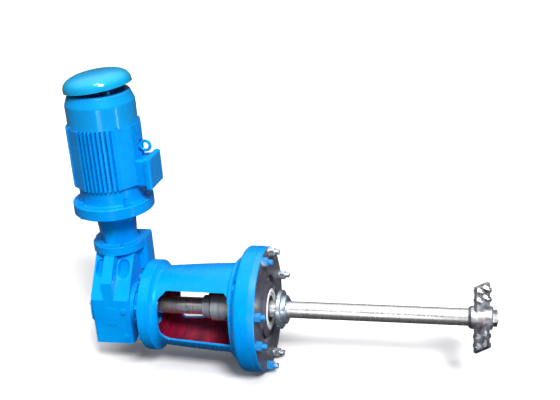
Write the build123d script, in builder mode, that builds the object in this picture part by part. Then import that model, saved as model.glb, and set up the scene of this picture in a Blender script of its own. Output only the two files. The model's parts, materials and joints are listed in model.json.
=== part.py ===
"""Side-entry mixer drive with a worm gearbox, in millimetres.

Frame: the origin is the centre of the mounting plate's tank-side face. +X runs along the mixer shaft
into the tank and +Z is up. The motor stands upright on the gear case, behind the output axis.
"""
import os
from math import acos, atan, cos, degrees, pi, radians, sin, sqrt, tan

from build123d import *

os.makedirs("parts", exist_ok=True)

# ---------------------------------------------------------------- driving dimensions
FIT_GAP = 0.2           # radial gap of a screw in its hole
MOTOR_X = -686.0        # upright motor and worm axis, along X
CENTRE_DISTANCE = 100.0  # worm axis behind the output axis, along Y

# worm set
MODULE = 5.0
WORM_STARTS = 4
WHEEL_TEETH = 30
WORM_PITCH_R = 25.0
WHEEL_PITCH_R = MODULE * WHEEL_TEETH / 2
WORM_LENGTH = 84.0
WHEEL_WIDTH = 38.0
NORMAL_ANGLE = 20.0     # pressure angle, degrees
FLANK_RELIEF = 0.25     # normal gap taken off each flank of both members

# tank end
PLATE_T = 28.0
PLATE_R = 268.0
BOLT_CIRCLE_R = 245.0
BOLT_COUNT = 12
BOLT_PHASE = 10.0       # first hole, degrees from +Y towards +Z
STUD_R = 12.0
STUD_REACH = 45.0
NUT_FLATS = 36.0
NUT_T = 21.5
WASHER_T = 4.0
BOSS_H = 10.0
RING_OUT_R = 83.0
RING_IN_R = 70.0
RING_FACE_X = 13.0
COLLAR_X = 46.0
COLLAR_R = 84.0

# lantern
LANTERN_X0 = -503.0
SMALL_FLANGE_R = 198.0
BIG_FLANGE_X = -81.0
BIG_FLANGE_R = 270.0
LANTERN_BOLT_R = 182.0

# shafts
TANK_SHAFT_R = 35.7
LANTERN_SHAFT_R = 37.5
SPIGOT_R = 27.46
HOLLOW_BORE_R = 27.5
HOLLOW_R = 40.0
HUB_X0 = 846.0
HUB_LENGTH = 92.0

# gear case
CASE_HALF_W = 88.0
CASE_WALL = 12.0
CASE_FRONT_Y = -98.0
CASE_BACK_Y = 190.0
CASE_BOTTOM_Z = -150.0
CASE_FOLD_Z = 60.0
CASE_TOP_Z = 236.0
CASE_FLANGE_Z = 254.0

# adapter and motor
ADAPTER_FLANGE_R = 115.0
ADAPTER_FLANGE_T = 18.0
ADAPTER_TOP_Z = 446.0
ADAPTER_SCREW_R = 100.0
ADAPTER_SCREW_ANGLES = (45, 135, 229, 300)
FLANGE_R = 175.0
FLANGE_T = 25.0
MOTOR_BOLT_R = 150.0
FRAME_Z0 = 547.0
FRAME_Z1 = 807.0
FRAME_R = 137.0
FIN_R = 158.0
STATOR_R = 130.0
COWL_R = 148.0
COWL_SHOULDER_Z = 902.0
COWL_TOP_Z = 945.0
COWL_TOP_R = 132.0
HOOD_R = 145.6
HOOD_RIM_Z = 965.0
HOOD_TOP_Z = 1030.0

MOTOR = Plane(origin=(MOTOR_X, CENTRE_DISTANCE, 0), x_dir=(1, 0, 0), z_dir=(0, 0, 1))
MOTOR_SECTION = Plane(origin=(MOTOR_X, CENTRE_DISTANCE, 0), x_dir=(1, 0, 0), z_dir=(0, -1, 0))
MOTOR_AXIS = Axis((MOTOR_X, CENTRE_DISTANCE, 0), (0, 0, 1))
REAR_BLOCK_W = 240.0    # block behind the worm axis that squares off the adapter flange
REAR_BLOCK_D = 104.0
REAR_BLOCK_Y = 50.0     # its middle, behind the worm axis
REAR_BLOCK_CORNER_R = 18.0


# ---------------------------------------------------------------- shared makers
def across(x):
    """The plane square to the output axis at x: its own x is +Y and its own y is +Z."""
    return Plane.YZ.offset(x)


def write(piece, name):
    """Label a finished sub-part and write its STEP file."""
    piece.label = name
    export_step(piece, f"parts/{name}.step")


def adapter_screw_places(height):
    """Planes on the four adapter screws at a height, which aren't evenly spaced."""
    return [spots(MOTOR.offset(height), ADAPTER_SCREW_R, 1, angle)[0] for angle in ADAPTER_SCREW_ANGLES]


def turned_on_x(outline):
    """A solid turned about the output axis from (x, radius) points."""
    with BuildPart() as piece:
        with BuildSketch(Plane.XZ):
            with BuildLine():
                Polyline(*outline, close=True)
            make_face()
        revolve(axis=Axis.X)
    return piece.part


def turned_on_motor(outline):
    """A solid turned about the motor axis from (radius, z) points."""
    with BuildPart() as piece:
        with BuildSketch(MOTOR_SECTION):
            with BuildLine():
                Polyline(*outline, close=True)
            make_face()
        revolve(axis=MOTOR_AXIS)
    return piece.part


def ring(plane, length, outer_r, inner_r):
    """A plain ring standing on a plane."""
    with BuildPart() as piece:
        with BuildSketch(plane):
            Circle(outer_r)
            Circle(inner_r, mode=Mode.SUBTRACT)
        extrude(amount=length)
    return piece.part


def spots(plane, radius, count, start=0.0, arc=360.0):
    """Planes parallel to a plane, spaced round its origin."""
    angles = [radians(start + arc * k / count) for k in range(count)]
    places = []
    for angle in angles:
        origin = plane.from_local_coords(Vector(radius * cos(angle), radius * sin(angle), 0))
        places.append(Plane(origin=origin, x_dir=plane.x_dir, z_dir=plane.z_dir))
    return places


def flipped(places):
    """The same planes with their normals turned round."""
    return [Plane(origin=place.origin, x_dir=place.x_dir, z_dir=-place.z_dir) for place in places]


def hex_screws(places, shank_r, length, flats, head_h):
    """Hex head screws: each place is the seat of the head, its normal pointing out of the head."""
    with BuildPart() as screws:
        for place in places:
            with BuildSketch(place):
                RegularPolygon(flats / 2, 6, major_radius=False)
            extrude(amount=head_h)
            with BuildSketch(place):
                Circle(shank_r)
            extrude(amount=-length)
    return screws.part


def bearing(plane, width, outer_r, inner_r, ball_r, balls):
    """Outer ring, inner ring and balls of a deep-groove bearing standing on a plane."""
    pitch_r = (outer_r + inner_r) / 2
    middle = plane.offset(width / 2)
    shoulder = 0.45 * ball_r
    with BuildPart() as outer:
        with BuildSketch(plane):
            Circle(outer_r)
            Circle(pitch_r + shoulder, mode=Mode.SUBTRACT)
        extrude(amount=width)
        with Locations(middle):
            Torus(pitch_r, ball_r + 0.35, mode=Mode.SUBTRACT)
    with BuildPart() as inner:
        with BuildSketch(plane):
            Circle(pitch_r - shoulder)
            Circle(inner_r, mode=Mode.SUBTRACT)
        extrude(amount=width)
        with Locations(middle):
            Torus(pitch_r, ball_r + 0.1, mode=Mode.SUBTRACT)
    with BuildPart() as ball_set:
        with Locations(*[Location(spot) for spot in spots(middle, pitch_r, balls)]):
            Sphere(ball_r)
    return outer.part, inner.part, ball_set.part


def joined(*pieces):
    """Separate solids of one node, kept apart as a compound."""
    solids = []
    for piece in pieces:
        solids.extend(piece.solids())
    return Compound(children=solids)


# ---------------------------------------------------------------- worm set
def involute_angle(radius, base_r):
    pressure = acos(min(base_r / radius, 1.0))
    return tan(pressure) - pressure


def gear_outline(teeth, pitch_r, helix_angle, root_r, tip_r, steps):
    """Transverse outline of a helical gear with a tooth centred on its own x axis."""
    transverse = atan(tan(radians(NORMAL_ANGLE)) / cos(radians(helix_angle)))
    base_r = pitch_r * cos(transverse)
    relief = FLANK_RELIEF / cos(radians(NORMAL_ANGLE)) / cos(radians(helix_angle)) / pitch_r
    half_tooth = pi / (2 * teeth) - relief + involute_angle(pitch_r, base_r)
    flank = []
    for step in range(steps + 1):
        radius = root_r + (tip_r - root_r) * step / steps
        flank.append((radius, half_tooth - involute_angle(max(radius, base_r), base_r)))
    points = []
    for tooth in range(teeth):
        centre = 2 * pi * tooth / teeth
        for radius, half in flank:
            points.append((radius * cos(centre - half), radius * sin(centre - half)))
        points.append((tip_r * cos(centre), tip_r * sin(centre)))
        for radius, half in reversed(flank):
            points.append((radius * cos(centre + half), radius * sin(centre + half)))
    return points


LEAD_ANGLE = degrees(atan(WORM_STARTS * MODULE / (2 * WORM_PITCH_R)))
WORM_LEAD = pi * MODULE * WORM_STARTS
WHEEL_LEAD = 2 * pi * WHEEL_PITCH_R / tan(radians(LEAD_ANGLE))


def twisted(plane, outline, turn_start, length, lead, bore_r=0.0):
    """A right-hand twisted bar: the outline turns once in each lead along the plane's normal."""
    with BuildSketch(plane) as section:
        with BuildLine(Plane.XY.rotated((0, 0, turn_start))):
            Polyline(*outline, close=True)
        make_face()
        if bore_r:
            Circle(bore_r, mode=Mode.SUBTRACT)
    bar = Solid.extrude_linear_with_rotation(
        section.sketch.face(), plane.origin, plane.z_dir * length, 360 * length / lead)
    return bar


WORM_ROOT_R = WORM_PITCH_R - 1.2 * MODULE
WORM_TIP_R = WORM_PITCH_R + MODULE
WHEEL_ROOT_R = WHEEL_PITCH_R - 1.25 * MODULE
WHEEL_TIP_R = WHEEL_PITCH_R + MODULE
WORM_BEARING_Z = 98.0
WORM_BEARING_W = 23.0
WORM_BEARING_R = 45.0
WORM_JOURNAL_R = 20.0
WORM_SHOULDER_R = 24.0
WORM_TOP_Z = 318.0

worm_outline = gear_outline(WORM_STARTS, WORM_PITCH_R, 90 - LEAD_ANGLE, WORM_ROOT_R, WORM_TIP_R, 4)
worm_start_turn = -90 - 360 * (WORM_LENGTH / 2) / WORM_LEAD
with BuildPart() as worm_shaft:
    add(twisted(MOTOR.offset(-WORM_LENGTH / 2), worm_outline, worm_start_turn, WORM_LENGTH, WORM_LEAD))
    for start, end, radius in (
        (-132.0, -WORM_BEARING_Z, WORM_JOURNAL_R),
        (-WORM_BEARING_Z, -60.0, WORM_SHOULDER_R),
        (-60.0, -WORM_LENGTH / 2, WORM_ROOT_R),
        (WORM_LENGTH / 2, 60.0, WORM_ROOT_R),
        (60.0, WORM_BEARING_Z, WORM_SHOULDER_R),
        (WORM_BEARING_Z, 142.0, WORM_JOURNAL_R),
        (142.0, WORM_TOP_Z, 17.5),
    ):
        with BuildSketch(MOTOR.offset(start)):
            Circle(radius)
        extrude(amount=end - start)
write(worm_shaft.part, "worm_shaft")

WHEEL_RIM_R = 56.0
RIM_BOLT_R = 62.0
wheel_outline = gear_outline(WHEEL_TEETH, WHEEL_PITCH_R, LEAD_ANGLE, WHEEL_ROOT_R, WHEEL_TIP_R, 2)
wheel_start_turn = 180 / WHEEL_TEETH - 360 * (WHEEL_WIDTH / 2) / WHEEL_LEAD
with BuildPart() as wheel_rim:
    add(twisted(across(MOTOR_X - WHEEL_WIDTH / 2), wheel_outline, wheel_start_turn,
                WHEEL_WIDTH, WHEEL_LEAD, WHEEL_RIM_R))
    for place in spots(across(MOTOR_X + WHEEL_WIDTH / 2), RIM_BOLT_R, 8, 22.5):
        with BuildSketch(place):
            Circle(4 + FIT_GAP)
        extrude(amount=-24, mode=Mode.SUBTRACT)
write(wheel_rim.part, "wheel_rim")

WHEEL_SEAT_R = 45.0
WHEEL_HUB_HALF = 32.0
KEY_W = 20.0
KEY_X0 = MOTOR_X - 28.0
KEY_X1 = MOTOR_X + 28.0
KEY_DEPTH = 7.5
KEY_PROUD = 4.5
with BuildPart() as wheel_hub:
    with BuildSketch(across(MOTOR_X - WHEEL_WIDTH / 2)):
        Circle(WHEEL_RIM_R)
        Circle(WHEEL_SEAT_R, mode=Mode.SUBTRACT)
    extrude(amount=WHEEL_WIDTH)
    with BuildSketch(across(MOTOR_X + WHEEL_WIDTH / 2)):
        Circle(WHEEL_ROOT_R - 1.5)
        Circle(WHEEL_SEAT_R, mode=Mode.SUBTRACT)
    extrude(amount=9)
    with BuildSketch(across(MOTOR_X)):
        Rectangle(KEY_W, 2 * (WHEEL_SEAT_R + KEY_PROUD), align=(Align.CENTER, Align.MIN))
    extrude(amount=WHEEL_HUB_HALF, both=True, mode=Mode.SUBTRACT)
    for place in spots(across(MOTOR_X + WHEEL_WIDTH / 2), RIM_BOLT_R, 8, 22.5):
        with BuildSketch(place):
            Circle(4 + FIT_GAP)
        extrude(amount=9, mode=Mode.SUBTRACT)
write(wheel_hub.part, "wheel_hub")

wheel_bolts = hex_screws(spots(across(MOTOR_X + WHEEL_WIDTH / 2 + 9), RIM_BOLT_R, 8, 22.5), 4, 30, 13, 5.3)
write(wheel_bolts, "wheel_bolts")

with BuildPart() as wheel_key:
    with BuildSketch(across(KEY_X0)):
        with Locations((0, WHEEL_SEAT_R - KEY_DEPTH)):
            Rectangle(KEY_W, KEY_DEPTH + KEY_PROUD, align=(Align.CENTER, Align.MIN))
    extrude(amount=KEY_X1 - KEY_X0)
write(wheel_key.part, "wheel_key")

HOLLOW_X0 = -772.0
HOLLOW_BORE_X = -745.0
HOLLOW_NOSE_X = -533.0
SHAFT_KEY_W = 16.0
SHAFT_KEY_DEPTH = 6.0
SHAFT_KEY_PROUD = 4.0
SHAFT_KEY_LENGTH = 140.0
with BuildPart() as hollow_shaft:
    with BuildSketch(Plane.XZ):
        with BuildLine():
            Polyline(
                (HOLLOW_X0, 0), (HOLLOW_X0, HOLLOW_R), (-735, HOLLOW_R), (-735, WHEEL_SEAT_R),
                (-640, WHEEL_SEAT_R), (-640, 47), (-608, 47), (-608, HOLLOW_R),
                (HOLLOW_NOSE_X, HOLLOW_R), (HOLLOW_NOSE_X, HOLLOW_BORE_R),
                (HOLLOW_BORE_X, HOLLOW_BORE_R), (HOLLOW_BORE_X, 0), close=True)
        make_face()
    revolve(axis=Axis.X)
    with BuildSketch(across(KEY_X0)):
        with Locations((0, WHEEL_SEAT_R - KEY_DEPTH)):
            Rectangle(KEY_W, KEY_DEPTH + KEY_PROUD, align=(Align.CENTER, Align.MIN))
    extrude(amount=KEY_X1 - KEY_X0, mode=Mode.SUBTRACT)
    with BuildSketch(across(HOLLOW_BORE_X)):
        with Locations((0, HOLLOW_BORE_R - 5)):
            Rectangle(SHAFT_KEY_W + 0.1, 5 + SHAFT_KEY_PROUD + 0.4, align=(Align.CENTER, Align.MIN))
    extrude(amount=HOLLOW_NOSE_X - HOLLOW_BORE_X, mode=Mode.SUBTRACT)
write(hollow_shaft.part, "hollow_shaft")

# bearings: the outer rings stand still, the inner rings and balls turn
OUTPUT_BEARING_R = 62.5
OUTPUT_BEARING_W = 22.0
worm_low = bearing(
    MOTOR.offset(-WORM_BEARING_Z - WORM_BEARING_W), WORM_BEARING_W, WORM_BEARING_R, WORM_JOURNAL_R, 8, 9)
worm_high = bearing(MOTOR.offset(WORM_BEARING_Z), WORM_BEARING_W, WORM_BEARING_R, WORM_JOURNAL_R, 8, 9)
output_left = bearing(across(-770), OUTPUT_BEARING_W, OUTPUT_BEARING_R, HOLLOW_R, 7, 14)
output_right = bearing(across(-604), OUTPUT_BEARING_W, OUTPUT_BEARING_R, HOLLOW_R, 7, 14)
write(joined(worm_low[0], worm_high[0], output_left[0], output_right[0]), "gear_bearing_outers")
write(joined(worm_low[1], worm_high[1]), "worm_bearing_inners")
write(joined(worm_low[2], worm_high[2]), "worm_bearing_balls")
write(joined(output_left[1], output_right[1]), "output_bearing_inners")
write(joined(output_left[2], output_right[2]), "output_bearing_balls")

# ---------------------------------------------------------------- gear case
CASE_X0 = MOTOR_X - CASE_HALF_W
CASE_X1 = MOTOR_X + CASE_HALF_W
FACET_TOP_Y = 37.0
FACET_SLOPE = (FACET_TOP_Y - CASE_FRONT_Y) / (CASE_TOP_Z - CASE_FOLD_Z)
FACET_WALL = CASE_WALL * sqrt(1 + FACET_SLOPE ** 2)     # the facet's wall, measured along Y
RIB_X = MOTOR_X - 4
RIB_HALF_W = 23.0
RIB_FOLD_Z = 141.0
RIB_RECESS_Y = -67.0
POCKET_BACK_Y = 22.0
REAR_BLOCK_Z = 126.0
BOSS_R = 58.0
WHEEL_OPENING_R = 83.0
HOUSING_OPENING_R = 72.0
COVER_R = 96.0
COVER_SCREW_R = 90.0
COVER_SCREWS = 8
CAP_R = 57.0
CAP_T = 10.0
CAP_SCREW_R = 51.0
ADAPTER_SPIGOT_R = 62.0
SIDE_BOSS_H = 4.0
HOUSING_FACE_X = CASE_X1 + SIDE_BOSS_H
POCKET_SKIN = 7.0
VENT = Plane(origin=(MOTOR_X + 50, CENTRE_DISTANCE + REAR_BLOCK_Y + REAR_BLOCK_D / 2, 190),
             x_dir=(1, 0, 0), z_dir=(0, 1, 0))
case_corners = [
    (CASE_FRONT_Y, CASE_BOTTOM_Z), (CASE_FRONT_Y, CASE_FOLD_Z), (FACET_TOP_Y, CASE_TOP_Z),
    (CASE_BACK_Y, CASE_TOP_Z), (CASE_BACK_Y, CASE_BOTTOM_Z),
]
cavity_corners = [
    (CASE_FRONT_Y + CASE_WALL, CASE_BOTTOM_Z + CASE_WALL),
    (CASE_FRONT_Y + CASE_WALL, CASE_FOLD_Z - (FACET_WALL - CASE_WALL) / FACET_SLOPE),
    (FACET_TOP_Y + FACET_WALL - CASE_WALL * FACET_SLOPE, CASE_TOP_Z - CASE_WALL),
    (CASE_BACK_Y - CASE_WALL, CASE_TOP_Z - CASE_WALL), (CASE_BACK_Y - CASE_WALL, CASE_BOTTOM_Z + CASE_WALL),
]
rib_corners = [
    (CASE_FRONT_Y, CASE_FOLD_Z), (CASE_FRONT_Y, RIB_FOLD_Z),
    (CASE_FRONT_Y + FACET_SLOPE * (CASE_TOP_Z - RIB_FOLD_Z), CASE_TOP_Z), (FACET_TOP_Y, CASE_TOP_Z),
]
facet_pockets = ((-743.5, 174, 64, 45), (-637, 173.5, 69, 54))      # middle x and z, height, width
# hollow inside, with metal left standing behind the facet's pockets
with BuildPart() as case_cavity:
    with BuildSketch(across(CASE_X0 + CASE_WALL)):
        with BuildLine():
            Polyline(*cavity_corners, close=True)
        make_face()
    extrude(amount=2 * (CASE_HALF_W - CASE_WALL))
    for x, z, height, width in facet_pockets:
        with BuildSketch(Plane.XZ.offset(-POCKET_BACK_Y - POCKET_SKIN)):
            with Locations((x, z)):
                SlotOverall(height + 2 * POCKET_SKIN, width + 2 * POCKET_SKIN, rotation=90)
        extrude(amount=140, mode=Mode.SUBTRACT)

with BuildPart() as gear_case:
    with BuildSketch(across(CASE_X0)):
        with BuildLine():
            Polyline(*case_corners, close=True)
        make_face()
    extrude(amount=2 * CASE_HALF_W)
    fillet(gear_case.edges().filter_by(Axis.Z).group_by(Axis.Y)[0], 10)
    fillet(gear_case.edges().filter_by(Axis.Z).group_by(Axis.Y)[-1], 16)
    # flange that carries the adapter: round in front, square with corner ears behind
    with BuildSketch(MOTOR.offset(CASE_TOP_Z)):
        Circle(ADAPTER_FLANGE_R)
    extrude(amount=CASE_FLANGE_Z - CASE_TOP_Z)
    with BuildSketch(MOTOR.offset(REAR_BLOCK_Z)):
        with Locations((0, REAR_BLOCK_Y)):
            RectangleRounded(REAR_BLOCK_W, REAR_BLOCK_D, REAR_BLOCK_CORNER_R)
    extrude(amount=CASE_FLANGE_Z - REAR_BLOCK_Z)
    # central rib: upright from the fold, then leaning back like the facet up to the flange
    with BuildSketch(across(RIB_X)):
        with BuildLine():
            Polyline(*rib_corners, close=True)
        make_face()
    extrude(amount=RIB_HALF_W, both=True)
    # raised pad low on the front face
    with BuildSketch(Plane.XZ.offset(-CASE_FRONT_Y)):
        with Locations((MOTOR_X - 4, -18)):
            RectangleRounded(50, 82, 5)
    extrude(amount=3)
    # side boss for the output housing
    with BuildSketch(across(CASE_X1)):
        Circle(COVER_R + 1.5)
    extrude(amount=SIDE_BOSS_H)
    add(case_cavity.part, mode=Mode.SUBTRACT)
    # bearing bosses of the worm, hanging from the top and standing on the floor
    for start, end in ((WORM_BEARING_Z - 10, CASE_FLANGE_Z - 1), (CASE_BOTTOM_Z + 1, -WORM_BEARING_Z + 10)):
        with BuildSketch(MOTOR.offset(start)):
            Circle(BOSS_R)
        extrude(amount=end - start)
    with BuildSketch(MOTOR.offset(CASE_BOTTOM_Z)):
        Circle(38)
    extrude(amount=CASE_FLANGE_Z - CASE_BOTTOM_Z, mode=Mode.SUBTRACT)
    with BuildSketch(MOTOR.offset(WORM_BEARING_Z)):
        Circle(WORM_BEARING_R)
    extrude(amount=CASE_FLANGE_Z - WORM_BEARING_Z, mode=Mode.SUBTRACT)
    with BuildSketch(MOTOR.offset(CASE_BOTTOM_Z)):
        Circle(WORM_BEARING_R)
    extrude(amount=-WORM_BEARING_Z - CASE_BOTTOM_Z, mode=Mode.SUBTRACT)
    with BuildSketch(MOTOR.offset(CASE_BOTTOM_Z)):
        Circle(CAP_R + FIT_GAP)
    extrude(amount=CAP_T, mode=Mode.SUBTRACT)
    with BuildSketch(MOTOR.offset(CASE_FLANGE_Z - 6)):
        Circle(ADAPTER_SPIGOT_R)
    extrude(amount=6, mode=Mode.SUBTRACT)
    # openings for the wheel and the output housing
    with BuildSketch(across(CASE_X0)):
        Circle(WHEEL_OPENING_R)
    extrude(amount=CASE_WALL + 1, mode=Mode.SUBTRACT)
    with BuildSketch(across(HOUSING_FACE_X)):
        Circle(HOUSING_OPENING_R)
    extrude(amount=-(CASE_WALL + SIDE_BOSS_H + 1), mode=Mode.SUBTRACT)
    # oval pockets beside the rib, and a small blind recess in the rib's side
    for x, z, height, width in facet_pockets:
        with BuildSketch(Plane.XZ.offset(-POCKET_BACK_Y)):
            with Locations((x, z)):
                SlotOverall(height, width, rotation=90)
        extrude(amount=140, mode=Mode.SUBTRACT)
    with BuildSketch(across(RIB_X + RIB_HALF_W)):
        with Locations((RIB_RECESS_Y, 150)):
            SlotOverall(25, 11, rotation=90)
    extrude(amount=-8, mode=Mode.SUBTRACT)
    # tapped holes
    for places, radius, depth in (
        (spots(across(CASE_X0), COVER_SCREW_R, COVER_SCREWS, 22.5), 4, CASE_WALL - 1),
        (spots(across(HOUSING_FACE_X), COVER_SCREW_R, COVER_SCREWS, 22.5), 4, -15),
        (adapter_screw_places(CASE_FLANGE_Z), 6, -17),
        (spots(MOTOR.offset(CASE_BOTTOM_Z + CAP_T), CAP_SCREW_R, 4, 45), 3, 16),
    ):
        for place in places:
            with BuildSketch(place):
                Circle(radius + FIT_GAP)
            extrude(amount=depth, mode=Mode.SUBTRACT)
    # oil plug holes: level and drain on the front wall, vent high on the back wall
    for x, z in ((MOTOR_X + 60, 10), (MOTOR_X + 60, -118)):
        with BuildSketch(Plane.XZ.offset(-CASE_FRONT_Y)):
            with Locations((x, z)):
                Circle(8)
        extrude(amount=-CASE_WALL - 1, mode=Mode.SUBTRACT)
    with BuildSketch(VENT):
        Circle(8)
    extrude(amount=-(VENT.origin.Y - CASE_BACK_Y) - CASE_WALL - 1, mode=Mode.SUBTRACT)
write(gear_case.part, "gear_case")

COVER_T = 7.0
with BuildPart() as side_cover:
    with BuildSketch(Plane.XZ):
        with BuildLine():
            Polyline(
                (CASE_X0 - COVER_T - 1, 0), (CASE_X0 - COVER_T - 1, 60), (CASE_X0 - COVER_T, 64),
                (CASE_X0 - COVER_T, COVER_R - 2), (CASE_X0 - COVER_T + 2, COVER_R), (CASE_X0, COVER_R),
                (CASE_X0, WHEEL_OPENING_R - FIT_GAP),
                (-744, WHEEL_OPENING_R - FIT_GAP), (-744, 55), (-748, 55), (-748, OUTPUT_BEARING_R),
                (-770, OUTPUT_BEARING_R), (-770, 52), (-776, 52), (-776, 0), close=True)
        make_face()
    revolve(axis=Axis.X)
    for place in spots(across(CASE_X0 - COVER_T), COVER_SCREW_R, COVER_SCREWS, 22.5):
        with BuildSketch(place):
            Circle(4 + FIT_GAP)
        extrude(amount=COVER_T, mode=Mode.SUBTRACT)
write(side_cover.part, "side_cover")

# housing of the right output bearing, with the round flange that carries the lantern
with BuildPart() as output_housing:
    with BuildSketch(Plane.XZ):
        with BuildLine():
            Polyline(
                (-612, OUTPUT_BEARING_R), (-612, HOUSING_OPENING_R - FIT_GAP),
                (HOUSING_FACE_X, HOUSING_OPENING_R - FIT_GAP), (HOUSING_FACE_X, COVER_R),
                (HOUSING_FACE_X + 12, COVER_R), (HOUSING_FACE_X + 12, 81.5), (-560, 81.5), (-540, 104),
                (-531, 150), (-528, 168), (-528, SMALL_FLANGE_R - 3), (-525, SMALL_FLANGE_R),
                (LANTERN_X0, SMALL_FLANGE_R), (LANTERN_X0, 88), (-528, 88), (-532, 80), (-560, 66),
                (-566, 66), (-566, 55), (-578, 55), (-578, 50), (-582, 50), (-582, OUTPUT_BEARING_R),
                close=True)
        make_face()
    revolve(axis=Axis.X)
    for place in spots(across(HOUSING_FACE_X + 12), COVER_SCREW_R, COVER_SCREWS, 22.5):
        with BuildSketch(place):
            Circle(4 + FIT_GAP)
        extrude(amount=-12, mode=Mode.SUBTRACT)
    for place in spots(across(LANTERN_X0), LANTERN_BOLT_R, 8, 22.5):
        with BuildSketch(place):
            Circle(8 + FIT_GAP)
        extrude(amount=-30, mode=Mode.SUBTRACT)
write(output_housing.part, "output_housing")

left_screws = hex_screws(
    flipped(spots(across(CASE_X0 - COVER_T), COVER_SCREW_R, COVER_SCREWS, 22.5)), 4, 17, 11, 2.5)
right_screws = hex_screws(
    spots(across(HOUSING_FACE_X + 12), COVER_SCREW_R, COVER_SCREWS, 22.5), 4, 26, 13, 5.3)
cap_screws = hex_screws(
    flipped(spots(MOTOR.offset(CASE_BOTTOM_Z), CAP_SCREW_R, 4, 45)), 3, 24, 10, 4)
write(joined(left_screws, right_screws, cap_screws), "case_screws")

with BuildPart() as worm_end_cap:
    with BuildSketch(MOTOR.offset(CASE_BOTTOM_Z)):
        Circle(CAP_R)
    extrude(amount=CAP_T)
    with BuildSketch(MOTOR.offset(CASE_BOTTOM_Z + CAP_T)):
        Circle(WORM_BEARING_R - FIT_GAP)
        Circle(36, mode=Mode.SUBTRACT)
    extrude(amount=-WORM_BEARING_Z - WORM_BEARING_W - CASE_BOTTOM_Z - CAP_T)
    for place in spots(MOTOR.offset(CASE_BOTTOM_Z), CAP_SCREW_R, 4, 45):
        with BuildSketch(place):
            Circle(3 + FIT_GAP)
        extrude(amount=CAP_T, mode=Mode.SUBTRACT)
write(worm_end_cap.part, "worm_end_cap")

worm_seal = ring(
    MOTOR.offset(WORM_BEARING_Z + WORM_BEARING_W), 10, WORM_BEARING_R - 0.05, WORM_JOURNAL_R + 0.3)
output_seal = ring(across(-577), 11, 55 - 0.05, HOLLOW_R + 0.3)
write(joined(worm_seal, output_seal), "oil_seals")

PLUG_R = 7.8
front_plugs = hex_screws(
    [Plane(origin=(MOTOR_X + 60, CASE_FRONT_Y, z), x_dir=(1, 0, 0), z_dir=(0, -1, 0)) for z in (10, -118)],
    PLUG_R, 10, 22, 8)
vent_plug = hex_screws(
    [VENT], PLUG_R, 10, 24, 14)
write(joined(front_plugs, vent_plug), "oil_plugs")

# ---------------------------------------------------------------- lantern
WALL_OUT_SMALL_R = 173.0
WALL_OUT_BIG_R = 199.0
WALL_T = 14.0
WINDOW_DEPTH = 260.0
LEDGE_R = 216.0
front_window = [(-446, -84), (-446, 98), (-410, 131), (-152, 138), (-121, 113), (-121, -96)]
rear_window = [(-456, -125), (-456, 98), (-320, 98), (-320, -125)]
with BuildPart() as lantern:
    with BuildSketch(Plane.XZ):
        with BuildLine():
            Polyline(
                (LANTERN_X0, 130), (LANTERN_X0, SMALL_FLANGE_R), (-482, SMALL_FLANGE_R),
                (-477, SMALL_FLANGE_R - 5), (-475, 188), (-466, 178), (-456, WALL_OUT_SMALL_R),
                (-317, 184), (-226, 189.5), (-136, 194), (-131, 199), (-130, LEDGE_R - 3),
                (-127, LEDGE_R), (-114, LEDGE_R + 2), (-110, 223), (-90, 262), (-84, BIG_FLANGE_R - 2),
                (-78, BIG_FLANGE_R), (-PLATE_T, BIG_FLANGE_R), (-PLATE_T, 190), (-60, 190),
                (-70, WALL_OUT_BIG_R - WALL_T), (-475, WALL_OUT_SMALL_R - WALL_T), (-485, 130), close=True)
        make_face()
    revolve(axis=Axis.X)
    # access windows, one each side, with one well rounded lower corner
    for side, corners, low_corner_r in ((-1, front_window, 52), (1, rear_window, 40)):
        with BuildSketch(Plane.XZ.offset(-side * WINDOW_DEPTH)) as window:
            with BuildLine():
                Polyline(*corners, close=True)
            make_face()
            fillet(window.vertices().sort_by_distance(corners[0])[0], low_corner_r)
            fillet(window.vertices().sort_by_distance(corners[-1])[0], 18)
        extrude(amount=side * (WINDOW_DEPTH - 60), mode=Mode.SUBTRACT)
    for k in range(BOLT_COUNT):
        angle = BOLT_PHASE + 360 / BOLT_COUNT * k
        free = k % 3 == 1
        place = spots(across(-PLATE_T), BOLT_CIRCLE_R, 1, angle)[0]
        with BuildSketch(place):
            Circle(13 if free else STUD_R + FIT_GAP)
        extrude(amount=-90 if free else -45, mode=Mode.SUBTRACT)
        if free:
            with BuildSketch(place.offset(BIG_FLANGE_X + PLATE_T + 6)):
                Circle(22)
            extrude(amount=-60, mode=Mode.SUBTRACT)
    for place in spots(across(LANTERN_X0), LANTERN_BOLT_R, 8, 22.5):
        with BuildSketch(place):
            Circle(8 + FIT_GAP)
        extrude(amount=20, mode=Mode.SUBTRACT)
    # plug in the front of the ledge
    with BuildSketch(Plane.XZ.offset(150)):
        with Locations((-99, 150)):
            Circle(6)
    extrude(amount=-20, mode=Mode.SUBTRACT)
write(lantern.part, "lantern")

lantern_bolts = hex_screws(
    flipped(spots(across(-528), LANTERN_BOLT_R, 8, 22.5)), 8, 42, 24, 10)
write(lantern_bolts, "lantern_bolts")

LOCK_X0 = -562.0
LOCK_X1 = HOLLOW_NOSE_X - 1
LOCK_R = 61.0
with BuildPart() as shaft_lock_ring:
    with BuildSketch(across(LOCK_X0)):
        Circle(LOCK_R)
        Circle(HOLLOW_R + 0.05, mode=Mode.SUBTRACT)
        with Locations((0, LOCK_R)):
            Rectangle(5, 2 * (LOCK_R - HOLLOW_R) + 4, mode=Mode.SUBTRACT)
    extrude(amount=LOCK_X1 - LOCK_X0)
    chamfer(shaft_lock_ring.faces().sort_by(Axis.X)[-1].edges().filter_by(GeomType.CIRCLE), 2)
write(shaft_lock_ring.part, "shaft_lock_ring")

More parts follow.
